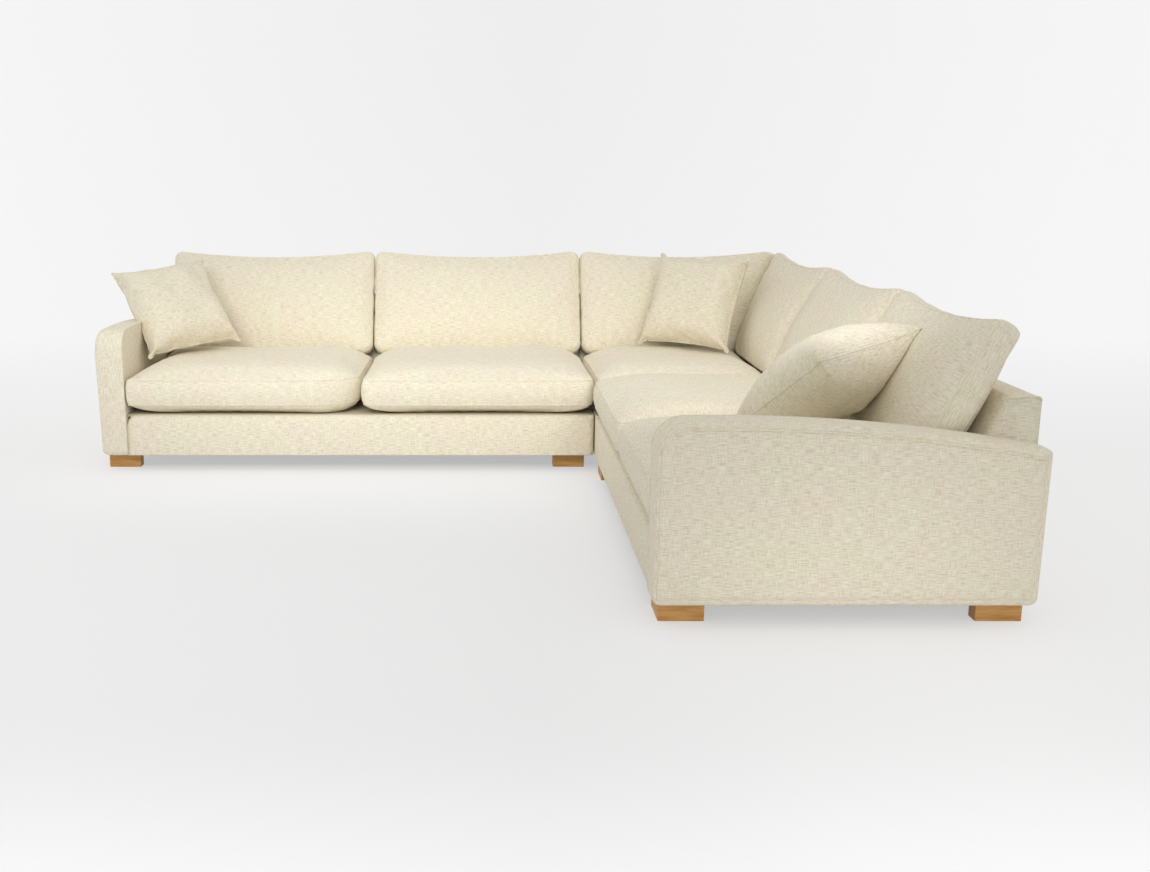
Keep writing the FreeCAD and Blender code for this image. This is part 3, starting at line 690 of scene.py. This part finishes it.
def seat_cushion(name, to_row, u0, u1, radii, front=seat_front, far_end_low=False, seed=0.0):
    """A loose boxed seat cushion with piping round its top and bottom, its top seam lower at the rear."""
    size = (u1 - u0, seat_rear - front)
    top_reaches = (0.20, 0.17, 0.15, 0.17)

    def sides_at(inset):
        return rectangle_sides((u0, front), (u1, seat_rear), radii, (0.0, 0.004, 0.004, 0.004), inset)

    def low(p):
        return np.full(p.shape[:-1], seat_low_seam)

    def high(p):
        t = np.clip((p[..., 1] - front) / size[1], 0, 1)
        drop = (seat_high_seam - seat_rear_seam) * t
        if far_end_low:
            drop = (seat_high_seam - seat_rear_seam) * np.maximum(t, (p[..., 0] - u0) / size[0])
        return seat_high_seam - drop

    def top_swell(grid):
        lumps = 0.0025 * unevenness(grid, 0.16, seed) + 0.001 * unevenness(grid, 0.05, seed + 3)
        return lip(grid) + (seat_crown - seam_lip - high(grid) + lumps) * pillow(grid, top_reaches)

    def low_swell(grid):
        return (seat_low_seam - seat_bottom) * pillow(grid, (0.15,) * 4, 2.0, 0.5)

    rows = bulged_rows(seat_bulge, 9)
    surface, low_seam, high_seam = soft_block(sides_at, rows, low, high, low_swell, top_swell)
    return sewn_cover(name, surface, (low_seam, high_seam), to_row, "cushion_fabric", 0.85, cap=0.005)


# Back cushions: where their lowest seam stands in a wing's places, then their own sizes
back_seam_v = 0.728
back_seam_z = 0.414
back_height = 0.500
back_saddle = 0.032
back_bulge = 0.010
boxing = 0.070
front_crown = 0.060
rear_crown = 0.050
arm_side_clearance = 0.018


def leaning(p):
    """From a back cushion's own places (across, up, out towards the sitter) to the wing's (u, v, z)."""
    base_v = back_seam_v + boxing / 2 * math.cos(back_lean)
    base_z = back_seam_z - boxing / 2 * math.sin(back_lean)
    v = base_v + p[..., 1] * math.sin(back_lean) - p[..., 2] * math.cos(back_lean)
    z = base_z + p[..., 1] * math.cos(back_lean) + p[..., 2] * math.sin(back_lean)
    return np.stack([p[..., 0], v, z], axis=-1)


def mitred(p, start, end):
    """Shears a leaning cushion so that its far end lies along the upright plane u = v."""
    placed = leaning(p)
    share = (p[..., 0] - start) / (end - start)
    edge = placed[..., 1] - 3 * cushion_gap
    placed[..., 0] = start + share * (edge - start)
    return placed


def back_cushion(name, to_row, u0, u1, mitre=False, seed=0.0):
    """A loose back cushion: crowned both sides, with a saddle-shaped top."""
    radii = ((0.055, 0.055), (0.055, 0.055), (0.048, 0.040), (0.048, 0.040))
    draw = (0.0, 0.0, back_saddle, 0.0)
    low_corner = (u0 - 0.0015, -0.010)
    high_corner = (u1 + 0.0015, back_height + 0.014)
    front_reaches = (0.26, 0.24, 0.30, 0.24)
    rear_reaches = (0.22, 0.18, 0.26, 0.18)

    def sides_at(inset):
        return rectangle_sides(low_corner, high_corner, radii, draw, inset)

    def rear(p):
        return np.full(p.shape[:-1], -boxing / 2)

    def front(p):
        return np.full(p.shape[:-1], boxing / 2)

    def front_swell(grid):
        lumps = 0.003 * unevenness(grid, 0.18, seed) + 0.001 * unevenness(grid, 0.05, seed + 3)
        return lip(grid) + (front_crown - seam_lip + lumps) * pillow(grid, front_reaches, 2.0, 0.85)

    def rear_swell(grid):
        return rear_crown * pillow(grid, rear_reaches, 2.0, 0.8)

    rows = bulged_rows(back_bulge, 8)
    surface, rear_seam, front_seam = soft_block(sides_at, rows, rear, front, rear_swell, front_swell)

    def placed(p):
        return to_row(mitred(p, u0, u1) if mitre else leaning(p))

    return sewn_cover(name, surface, (rear_seam, front_seam), placed, "cushion_fabric", 0.75, cap=0.008,
                      spare=0.012)


# Scatter cushions: their size, how far each side bulges, then each one's middle, as (-u, v, z) on a wing,
# and its heading, lean and roll in degrees
scatter_size = 0.474
scatter_plump = 0.084
right_scatter_plump = 0.108
left_scatter = ((-1.868, 0.492, 0.643), (34.6, 38.0, -6.8))
right_scatter = ((-1.315, 0.596, 0.622), (45.6, 53.2, -12.9))
corner_scatter = ((0.505, 0.598, 0.658), (-34.7, 26.2, 1.1))


def turned(p, centre, angles):
    """A cushion's own places (across, up, through) turned and moved to where it lies."""
    heading, lean, roll = (math.radians(x) for x in (angles[0], -angles[1], angles[2]))
    x, y, z = p[..., 0], -p[..., 2], p[..., 1]
    x, z = x * math.cos(roll) + z * math.sin(roll), -x * math.sin(roll) + z * math.cos(roll)
    y, z = y * math.cos(lean) - z * math.sin(lean), y * math.sin(lean) + z * math.cos(lean)
    x, y = x * math.cos(heading) - y * math.sin(heading), x * math.sin(heading) + y * math.cos(heading)
    return np.stack([x + centre[0], y + centre[1], z + centre[2]], axis=-1)


def scatter_cushion(name, to_row, seed, plump):
    """Two squares sewn together and piped, ready to be filled with feathers."""
    half = scatter_size / 2
    sides = rectangle_sides((-half, -half), (half, half), ((0.010, 0.010),) * 4, (0.004,) * 4, 0.0)
    plan = fill_between(sides)
    full = pillow(plan, (0.20,) * 4, 2.0, 0.72)
    surface = Surface()
    for way in (-1.0, 1.0):
        lumps = 0.10 * unevenness(plan, 0.10, seed + 7 * way) + 0.05 * unevenness(plan, 0.04, seed + way)
        surface.grid(np.dstack([plan, way * plump * full * (1 + lumps)]), plan, rim_of(plan))
    loop = closed_loop(sides)
    seam = np.column_stack([loop, np.zeros(len(loop))])
    return sewn_cover(name, surface, (seam,), to_row, "scatter_fabric", 0.7, pressure=5.0, cap=0.03,
                      spare=0.02, stiffness=9.0, pinned=False)


def loose_cushions(fixed):
    """All cushions: built, filled by simulation, pressed off what they rest on, and closed."""
    g = cushion_gap
    small = (0.035, 0.035)
    rear = (0.030, 0.030)
    seats = []
    backs = []
    for side, to_row, seat in (("left", to_left, left_seat), ("right", to_right, right_seat)):
        meeting = (0.250, 0.150) if side == "left" else (0.120, 0.090)
        seats.append(seat_cushion(f"{side}_seat_cushion_inner", to_row, g, seat - g,
                                  ((0.060, 0.050), small, rear, rear), seed=1.0))
        seats.append(seat_cushion(f"{side}_seat_cushion_arm", to_row, seat + g, 2 * seat - g,
                                  (meeting, (0.015, 0.015), rear, rear), seed=5.0))
        backs.append(back_cushion(f"{side}_back_cushion_inner", to_row, g, seat - g, seed=9.0))
        backs.append(back_cushion(f"{side}_back_cushion_arm", to_row, seat + g, 2 * seat - arm_side_clearance,
                                  seed=13.0))
    seats.append(seat_cushion("corner_seat_cushion", to_corner, g, seat_rear, (small,) * 4, front=g + 0.009,
                              far_end_low=True, seed=17.0))
    backs.append(back_cushion("corner_back_cushion_left", to_corner, g, back_seam_v, mitre=True, seed=21.0))
    backs.append(back_cushion("corner_back_cushion_right", to_corner_swapped, g, back_seam_v, mitre=True,
                              seed=25.0))

    def at_left(p):
        return to_corner(turned(p, *left_scatter))

    def at_corner(p):
        return to_corner(turned(p, *corner_scatter))

    def at_right(p):
        q = turned(p, *right_scatter)
        return to_right(np.stack([-q[..., 0], q[..., 1], q[..., 2]], axis=-1))

    scatters = [scatter_cushion("scatter_cushion_left", at_left, 31.0, scatter_plump),
                scatter_cushion("scatter_cushion_corner", at_corner, 35.0, scatter_plump),
                scatter_cushion("scatter_cushion_right", at_right, 39.0, right_scatter_plump)]
    let_filling_push(seats + backs + scatters)
    seat_pieces = [made["piece"] for made in seats]
    back_pieces = [made["piece"] for made in backs]
    for k, made in enumerate(seats):
        press_off(made["piece"], fixed + seat_pieces[:k], 0.004)
    for k, made in enumerate(backs):
        press_off(made["piece"], fixed + seat_pieces + back_pieces[:k], 0.003)
    for made in scatters:
        press_off(made["piece"], fixed + seat_pieces + back_pieces)
    for group, radius in ((seats, seat_piping), (backs, back_piping), (scatters, scatter_piping)):
        for made in group:
            close_cover(made, radius)


# Arms

# An arm's outline seen from its side, in (v, z), and the seam of its outer panel
arm_front = -0.012
arm_shoulder = (0.080, 0.505)
arm_crest = 0.598
arm_middle = (0.600, 0.580)
arm_rear = 0.515
arm_corner = 0.026
arm_bow = 0.72
arm_seam_inset = 0.020
arm_front_share = 0.4
arm_flare = 0.008
arm_groove = 0.0045


def arm_sides(inset):
    """The four sides of an arm's outline, drawn in by inset, and less so at its front."""
    front = arm_front + inset * arm_front_share
    rear = depth - inset
    low = base_bottom + inset
    crest = arm_crest - inset
    r = max(arm_corner - inset, 0.001)
    bend = (arm_shoulder[0] + (front - arm_shoulder[0]) * arm_bow,
            arm_shoulder[1] + (crest - arm_shoulder[1]) * arm_bow)
    curve = arc_through((front, arm_shoulder[1]), bend, (arm_shoulder[0], crest), 25)
    top = arc_through((arm_shoulder[0], crest), (arm_middle[0], arm_middle[1] - inset),
                      (rear, arm_rear - inset), 60)
    bottom = np.concatenate([quarter((front + r, low + r), (r, r), 225, 270),
                             quarter((rear - r, low + r), (r, r), 270, 315)])
    back = np.concatenate([quarter((rear - r, low + r), (r, r), 315, 360), [[rear, arm_rear - inset]]])
    over = np.concatenate([curve[12:], top[1:]])[::-1]
    down = np.concatenate([quarter((front + r, low + r), (r, r), 225, 180), curve[:13]])[::-1]
    lines = ((bottom, 90), (back, 40), (over, 90), (down, 40))
    return [resample(line, spaced(count)) for line, count in lines]


def arm(side, to_row, u0):
    """An upholstered arm: flat inner panel, a padded band over it, and a piped outer panel."""
    u1 = u0 + arm_width
    inner_round = 0.006
    outer_round = 0.020
    flat = arm_width - inner_round - outer_round
    band_bulge = 0.0012
    flare_height = 0.4
    rows = [(inner_round, 0.0)]
    rows += [(inner_round * (1 - math.sin(a)), inner_round * (1 - math.cos(a)) / arm_width)
             for a in np.radians((30, 60, 90))]
    rows += [(-band_bulge * math.sin(math.pi * q), (inner_round + flat * q) / arm_width)
             for q in np.linspace(0, 1, 8)[1:-1]]
    rows += [(outer_round * (1 - math.cos(a)), (arm_width - outer_round * (1 - math.sin(a))) / arm_width)
             for a in np.radians((0, 15, 30, 45, 60, 75))]
    seam_share = 1 - arm_groove / arm_width
    rows += [(arm_seam_inset, seam_share)]

    def inner(p):
        return np.full(p.shape[:-1], u0)

    def outer(p):
        return u1 + arm_flare * np.clip((p[..., 1] - base_bottom) / flare_height, 0, 1) ** 1.5

    def low_swell(grid):
        return np.zeros(grid.shape[:2])

    def high_swell(grid):
        sunk = (1 - seam_share) * (outer(grid) - u0)
        return -sunk + (arm_groove + 0.003) * pillow(grid, (0.022,) * 4, 2.0, 0.7)

    surface, _, _ = soft_block(arm_sides, rows, inner, outer, low_swell, high_swell)

    def placed(p):
        return to_row(np.stack([p[..., 2], p[..., 0], p[..., 1]], axis=-1))

    made = surface.build(f"{side}_arm_upholstery", placed)
    smooth_cloth(made)
    finish_piece(made, "frame", "upholstery", [f"{side}_arm_cover"])
    cords = Surface()
    outer_cord = (arm_seam_inset, outer, 0.0025, 0.0036)
    inner_cord = (0.0010, inner, 0.0, 0.0012)
    for inset, panel, sunk, radius in (outer_cord, inner_cord):
        sides = arm_sides(inset)
        run = np.concatenate([sides[2][:-1], sides[3]])
        tube(cords, np.column_stack([run, panel(run) - sunk]), radius, closed=False)
    piping = cords.build(f"{side}_arm_piping", placed)
    finish_piece(piping, "frame", "upholstery")
    return made


# Base and back

# The piping of a back's end: its radius, and the height at which it starts
back_end_piping = 0.002
back_piping_low = base_top + 0.2


def sweep(surface, lines, cloth_across, cloth_along):
    """Joins closed outlines, all with the same number of points, and closes both ends."""
    points = np.array(lines)
    cloth = np.dstack([np.broadcast_to(np.array(cloth_along)[:, None], points.shape[:2]),
                       np.broadcast_to(np.array(cloth_across)[None], points.shape[:2])])
    surface.grid(points, cloth)
    for end in (0, -1):
        surface.polygon(points[end, :-1], points[end, :-1, 1:])


def base_border(side, to_row, u_end):
    """The padded front border, carried round the corner into the thin side skin."""
    r = 0.024
    end_run, end_drop = 0.035, 0.030
    foot_round, edge_round = 0.006, 0.001
    panel_bow = 0.0015
    u0 = section_gap
    straight = np.linspace(u_end, u0 + r, 120)
    front = np.column_stack([straight, np.zeros(len(straight))])
    turn = quarter((u0 + r, r), (r, r), 270, 180, 10)[1:]
    back = np.column_stack([np.full(24, u0), np.linspace(r, depth - border_thickness, 25)[1:]])
    path = np.concatenate([front, turn, back])
    inward = np.concatenate([np.tile((0.0, 1.0), (len(front), 1)),
                             (np.array((u0 + r, r)) - turn) / r,
                             np.tile((1.0, 0.0), (len(back), 1))])
    along = lengths(path)
    turn_starts = along[len(front) - 1]
    turn_ends = along[len(front) + len(turn) - 1]
    lines = []
    for place, normal, s in zip(path, inward, along):
        share = np.clip((s - turn_starts) / (turn_ends - turn_starts), 0, 1)
        thick = border_thickness + (side_skin - border_thickness) * share
        top = base_top - end_drop * (1 - math.sqrt(1 - (1 - min(s / end_run, 1)) ** 2))
        radii = [min(foot_round, thick / 2 - edge_round), edge_round, edge_round, min(r, thick - edge_round)]
        profile = rounded([(0.0, base_bottom), (thick, base_bottom), (thick, top), (0.0, top)], radii)
        height = (profile[:, 1] - base_bottom) / (top - base_bottom)
        profile[:, 0] -= panel_bow * np.sin(np.pi * np.clip(height, 0, 1)) * (profile[:, 0] < thick / 2)
        lines.append(np.column_stack([place + profile[:, :1] * normal, profile[:, 1]]))
    surface = Surface()
    sweep(surface, lines, lengths(lines[0]), along)
    made = surface.build(f"{side}_base_upholstery", to_row)
    finish_piece(made, "frame", "upholstery", [f"{side}_base_cover"])


def back_profile():
    """The section of the upholstered back, in (v, z), from the foot of its outside panel round its top."""
    panel = depth - border_thickness
    low_front = depth - back_thickness - (back_top - base_top) * math.tan(back_lean)
    return rounded([(depth, base_bottom), (depth, back_top), (depth - back_thickness, back_top),
                    (low_front, base_top), (panel, base_top), (panel, base_bottom)],
                   [0.005, 0.012, 0.012, 0.002, 0.001, 0.005])


def upholstered_back(name, to_row, u0, u1, piped_end=False, mitre=False):
    """A length of the back, closed at both ends, with piping round the end that shows above an arm.

    With mitre its far end lies along the upright plane u = v.
    """
    profile = back_profile()
    steps = np.linspace(0, 1, 60)
    lines = []
    for q in steps:
        end = profile[:, 0] if mitre else np.full(len(profile), u1)
        lines.append(np.column_stack([u0 + q * (end - u0), profile]))
    surface = Surface()
    sweep(surface, lines, lengths(profile), steps * (u1 - u0))
    made = surface.build(name + "_upholstery", to_row)
    finish_piece(made, "frame", "upholstery", [name])
    if piped_end:
        cords = Surface()
        run = np.array([p for p in profile if p[1] > back_piping_low])
        tube(cords, np.column_stack([np.full(len(run), u1), run]), back_end_piping, closed=False)
        piping = cords.build(name + "_piping", to_row)
        finish_piece(piping, "frame", "upholstery")
    return made


# Feet

leg = 0.050
eased_edge = 0.0016

# Where in the board the legs that run front to back are cut, and how their grain runs over an edge
other_board = 0.4
board_slant = 1.3


def oak_leg(name, outline, along):
    """An upright oak block with eased edges, from its outline in the row frame, with its grain along it."""
    work = bmesh.new()
    low = [work.verts.new((x, y, 0.0)) for x, y in outline]
    high = [work.verts.new((x, y, base_bottom)) for x, y in outline]
    work.faces.new(low)
    work.faces.new(high)
    for k in range(len(outline)):
        n = (k + 1) % len(outline)
        work.faces.new((low[k], low[n], high[n], high[k]))
    bmesh.ops.recalc_face_normals(work, faces=work.faces)
    bmesh.ops.bevel(work, geom=work.edges[:], offset=eased_edge, segments=2, profile=0.6, affect="EDGES")
    board = work.loops.layers.uv.new("cloth")
    for face in work.faces:
        for loop in face.loops:
            place = loop.vert.co
            loop[board].uv = (place[along] + other_board * along, place.z + board_slant * place[1 - along])
    mesh = bpy.data.meshes.new(name)
    work.to_mesh(mesh)
    work.free()
    return place_object(name, mesh)


def blocks_of(node):
    """The box of each separate block of a CAD node, as (x0, y0, x1, y1)."""
    mesh = frame["nodes"][node].data
    work = bmesh.new()
    work.from_mesh(mesh)
    bmesh.ops.remove_doubles(work, verts=work.verts, dist=weld_distance)
    left = set(work.verts)
    found = []
    while left:
        group = [left.pop()]
        for vertex in group:
            for edge in vertex.link_edges:
                other = edge.other_vert(vertex)
                if other in left:
                    left.discard(other)
                    group.append(other)
        xs = [vertex.co.x for vertex in group]
        ys = [vertex.co.y for vertex in group]
        found.append((min(xs), min(ys), max(xs), max(ys)))
    work.free()
    return sorted(found)


def feet():
    """Square blocks, and an L of two mitred legs at the front of each arm."""
    for side in ("left", "right", "corner"):
        node = f"{side}_block_feet"
        for k, (x0, y0, x1, y1) in enumerate(blocks_of(node)):
            along = 0 if x1 - x0 > y1 - y0 else 1
            made = oak_leg(f"{side}_foot_{k + 1}", [(x0, y0), (x1, y0), (x1, y1), (x0, y1)], along)
            finish_piece(made, "frame", "oak", [node])
    for side in ("left", "right"):
        node = f"{side}_corner_foot"
        low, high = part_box(node)
        size = high.x - low.x
        for along, points in ((0, ((0, 0), (size, 0), (size, leg), (leg, leg))),
                              (1, ((0, 0), (leg, leg), (leg, size), (0, size)))):
            outline = [(low.x + x, low.y + y) for x, y in points]
            made = oak_leg(f"{node}_leg_{along + 1}", outline, along)
            finish_piece(made, "frame", "oak", [node])


# Cloth under the cushions and under the base

deck_sag = 0.004
underlining_sag = 0.0015
sag_reach = 0.2


def deck(side):
    """The lining cloth over springs and felt that the seat cushions lie on, a little hollow between rails."""
    node = f"{side}_platform"
    low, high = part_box(node)
    plan = flat_grid(low, high, columns=60)
    sag = deck_sag * pillow(plan, (sag_reach,) * 4, 2.0)
    surface = Surface()
    surface.grid(np.dstack([plan, high.z - sag]), plan)
    surface.grid(np.dstack([plan, np.full(plan.shape[:2], low.z)]), plan)
    edge = np.concatenate([plan[:, 0], plan[-1, 1:], plan[::-1, -1][1:], plan[0, ::-1][1:]])
    wall = np.array([np.column_stack([edge, np.full(len(edge), z)]) for z in (low.z, high.z)])
    surface.grid(wall, wall[..., [0, 2]])
    made = surface.build(f"{side}_deck_cloth", in_row)
    finish_piece(made, "frame", "platform_cloth", [node])


def corner_skins():
    """The corner section's two inner sides: fabric over board, out of sight against the other sections."""
    u0, far = section_gap, depth - border_thickness
    bend, count = 0.006, 40
    path = np.array([(u, u0) for u in np.linspace(far, u0 + bend, count)]
                    + [(u0, v) for v in np.linspace(u0 + bend, far, count)])
    inward = np.array([(0.0, 1.0)] * (count - 1) + [(0.7071, 0.7071)] * 2 + [(1.0, 0.0)] * (count - 1))
    profile = rounded([(0.0, base_bottom), (side_skin, base_bottom), (side_skin, base_top), (0.0, base_top)],
                      [0.002, 0.001, 0.001, 0.002])
    lines = [np.column_stack([place + profile[:, :1] * normal, profile[:, 1]])
             for place, normal in zip(path, inward)]
    surface = Surface()
    sweep(surface, lines, lengths(lines[0]), lengths(path))
    made = surface.build("corner_base_upholstery", to_corner)
    finish_piece(made, "frame", "upholstery", ["corner_base_cover"])


def underlining(side):
    """The dust cloth stapled under a section, hanging a little between its staples."""
    node = f"{side}_dust_cover"
    low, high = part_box(node)
    plan = flat_grid(low, high)
    sag = underlining_sag * pillow(plan, (sag_reach,) * 4, 2.0)
    surface = Surface()
    surface.grid(np.dstack([plan, high.z - sag]), plan)
    made = surface.build(f"{side}_underlining", in_row)
    finish_piece(made, "frame", "dust_cloth", [node])


def fixed_upholstery():
    """Everything upholstered that doesn't lift off. Returns the arms and backs, which cushions rest on."""
    fixed = []
    for side, to_row, end in (("left", to_left, left_wing_end), ("right", to_right, right_wing_end)):
        fixed.append(arm(side, to_row, end))
        base_border(side, to_row, end)
        fixed.append(upholstered_back(f"{side}_back_cover", to_row, section_gap, end, piped_end=True))
        deck(side)
    for side, to_row in (("left", to_corner), ("right", to_corner_swapped)):
        fixed.append(upholstered_back(f"corner_back_cover_{side}", to_row, section_gap, depth, mitre=True))
    deck("corner")
    corner_skins()
    for side in ("left", "right", "corner"):
        underlining(side)
    return fixed


# Studio

# Each lamp's name, place, the spot it faces, size in metres, spread in degrees and power in watts
lamps = (("front_softbox", (-0.80, -2.0, 1.7), (-0.58, 0.5, 0.60), (2.1, 0.4), 50.0, 4.7),
         ("inner_softbox", (0.98, -1.40, 1.12), (0.90, 0.6, 0.60), (0.6, 0.3), 70.0, 1.7),
         ("floor_softbox", (-0.3, -3.3, 3.2), (-0.3, -3.3, 0.0), (4.4, 1.4), 24.0, 6.5),
         ("bounce_card", (1.05, -3.3, 0.22), (1.05, -1.5, 0.10), (0.9, 0.2), 40.0, 0.40))
# Painted light: the glow that the camera sees on the floor and backdrop, in the middle and to both sides
painted_glow_middle = "#F6F6F6"
painted_glow_sides = "#FFFFFF"


def studio():
    """Pale floor that rises into a backdrop, with soft light from the front left.

    Where the camera sees it, it glows with painted light, brighter to both sides in a fan that opens towards
    the backdrop, and with a larger share of glow over real shading further back.
    """
    material, tree = new_material("studio_grey")
    path = add_node(tree, "LightPath")
    seen = add_node(tree, "Math", {0: path.outputs["Is Camera Ray"], 1: path.outputs["Is Glossy Ray"]},
                    operation="MAXIMUM")
    through = add_node(tree, "Math", {0: seen.outputs["Value"], 1: path.outputs["Is Transmission Ray"]},
                       operation="MAXIMUM")
    place = add_node(tree, "UVMap", uv_map="cloth")
    sideways = add_node(tree, "SeparateXYZ", {"Vector": place.outputs["UV"]})
    # Painted light: the share of glow over real shading grows from near the sofa towards the backdrop
    lit = add_node(tree, "MapRange", {"Value": sideways.outputs["Y"], "From Min": 0.8, "From Max": 4.5,
                                      "To Min": 0.50, "To Max": 0.78})
    share = add_node(tree, "Math", {0: through.outputs["Value"], 1: lit.outputs["Result"]},
                     operation="MULTIPLY")
    # Painted light: the glow is brighter to both sides, in a fan
    painted_light_fan = add_node(tree, "ValToRGB", {"Fac": sideways.outputs["X"]})
    set_ramp(painted_light_fan, [(0.08, painted_glow_sides), (0.5, painted_glow_middle), (0.92, painted_glow_sides)])
    matt = add_node(tree, "BsdfDiffuse", {"Color": linear("#F6F6F6")})
    glow = add_node(tree, "Emission", {"Color": painted_light_fan.outputs["Color"], "Strength": 1.0})
    mixed = add_node(tree, "MixShader", {0: share.outputs["Value"], 1: matt.outputs["BSDF"],
                                         2: glow.outputs["Emission"]})
    add_node(tree, "OutputMaterial", {"Surface": mixed.outputs["Shader"]})
    surface = Surface()
    front_y, wall_y, wall_top, half_width, bend = -14.0, 7.0, 9.0, 16.0, 2.5
    profile = np.concatenate([[(y, 0.0) for y in np.linspace(front_y, wall_y - bend, 50)[:-1]],
                              quarter((wall_y - bend, bend), (bend, bend), 270, 360, 24),
                              [[wall_y, wall_top]]])
    width = np.linspace(-half_width, half_width, 97)
    points = np.array([[(x, y, z) for y, z in profile] for x in width])
    fan_y, fan_middle = -4.85, 0.45
    away = np.maximum(points[..., 1], -4.0) - fan_y
    shares = np.dstack([fan_middle + points[..., 0] / away, points[..., 1]])
    surface.grid(points, shares)
    floor = surface.build("studio_floor", in_row)
    floor.data.materials.append(material)

    world = bpy.data.worlds.new("studio_air")
    bpy.context.scene.world = world
    world.use_nodes = True
    tree = world.node_tree
    tree.nodes.clear()
    direction = add_node(tree, "TexCoord")
    upwards = add_node(tree, "SeparateXYZ", {"Vector": direction.outputs["Generated"]})
    glow = add_node(tree, "MapRange", {"Value": upwards.outputs["Z"], "From Min": 0.0, "From Max": 1.0,
                                       "To Min": 0.56, "To Max": 0.84})
    air = add_node(tree, "Background", {"Color": linear("#FFFFFF"), "Strength": glow.outputs["Result"]})
    add_node(tree, "OutputWorld", {"Surface": air.outputs["Background"]})

    for name, place, target, size, spread, power in lamps:
        lamp = bpy.data.lights.new(name, "AREA")
        lamp.shape = "RECTANGLE"
        lamp.size, lamp.size_y = size
        lamp.spread = math.radians(spread)
        lamp.energy = power
        holder = place_object(name, lamp)
        holder.location = place
        holder.rotation_euler = (Vector(target) - Vector(place)).to_track_quat("-Z", "Y").to_euler()
        holder.visible_camera = False


def camera():
    """The photograph's viewing angle: level sideways, looking down by its pitch, with its lens in pixels."""
    focal, middle_x, wide = 1262.35, 473.54, 1150.0
    sensor = 36.0
    from_corner = (-0.5158, -5.2523, 1.2979)
    pitch = 12.32
    lens = bpy.data.cameras.new("photo_camera")
    lens.sensor_fit = "HORIZONTAL"
    lens.sensor_width = sensor
    lens.lens = focal / wide * sensor
    lens.shift_x = 0.5 - middle_x / wide
    holder = place_object("photo_camera", lens)
    holder.location = (corner_x + from_corner[0], corner_y + from_corner[1], from_corner[2])
    holder.rotation_euler = (math.radians(90 - pitch), 0.0, 0.0)
    bpy.context.scene.camera = holder


dress_cad_nodes()
loose_cushions(fixed_upholstery())
feet()
studio()
camera()

bpy.context.scene.view_settings.view_transform = "Standard"
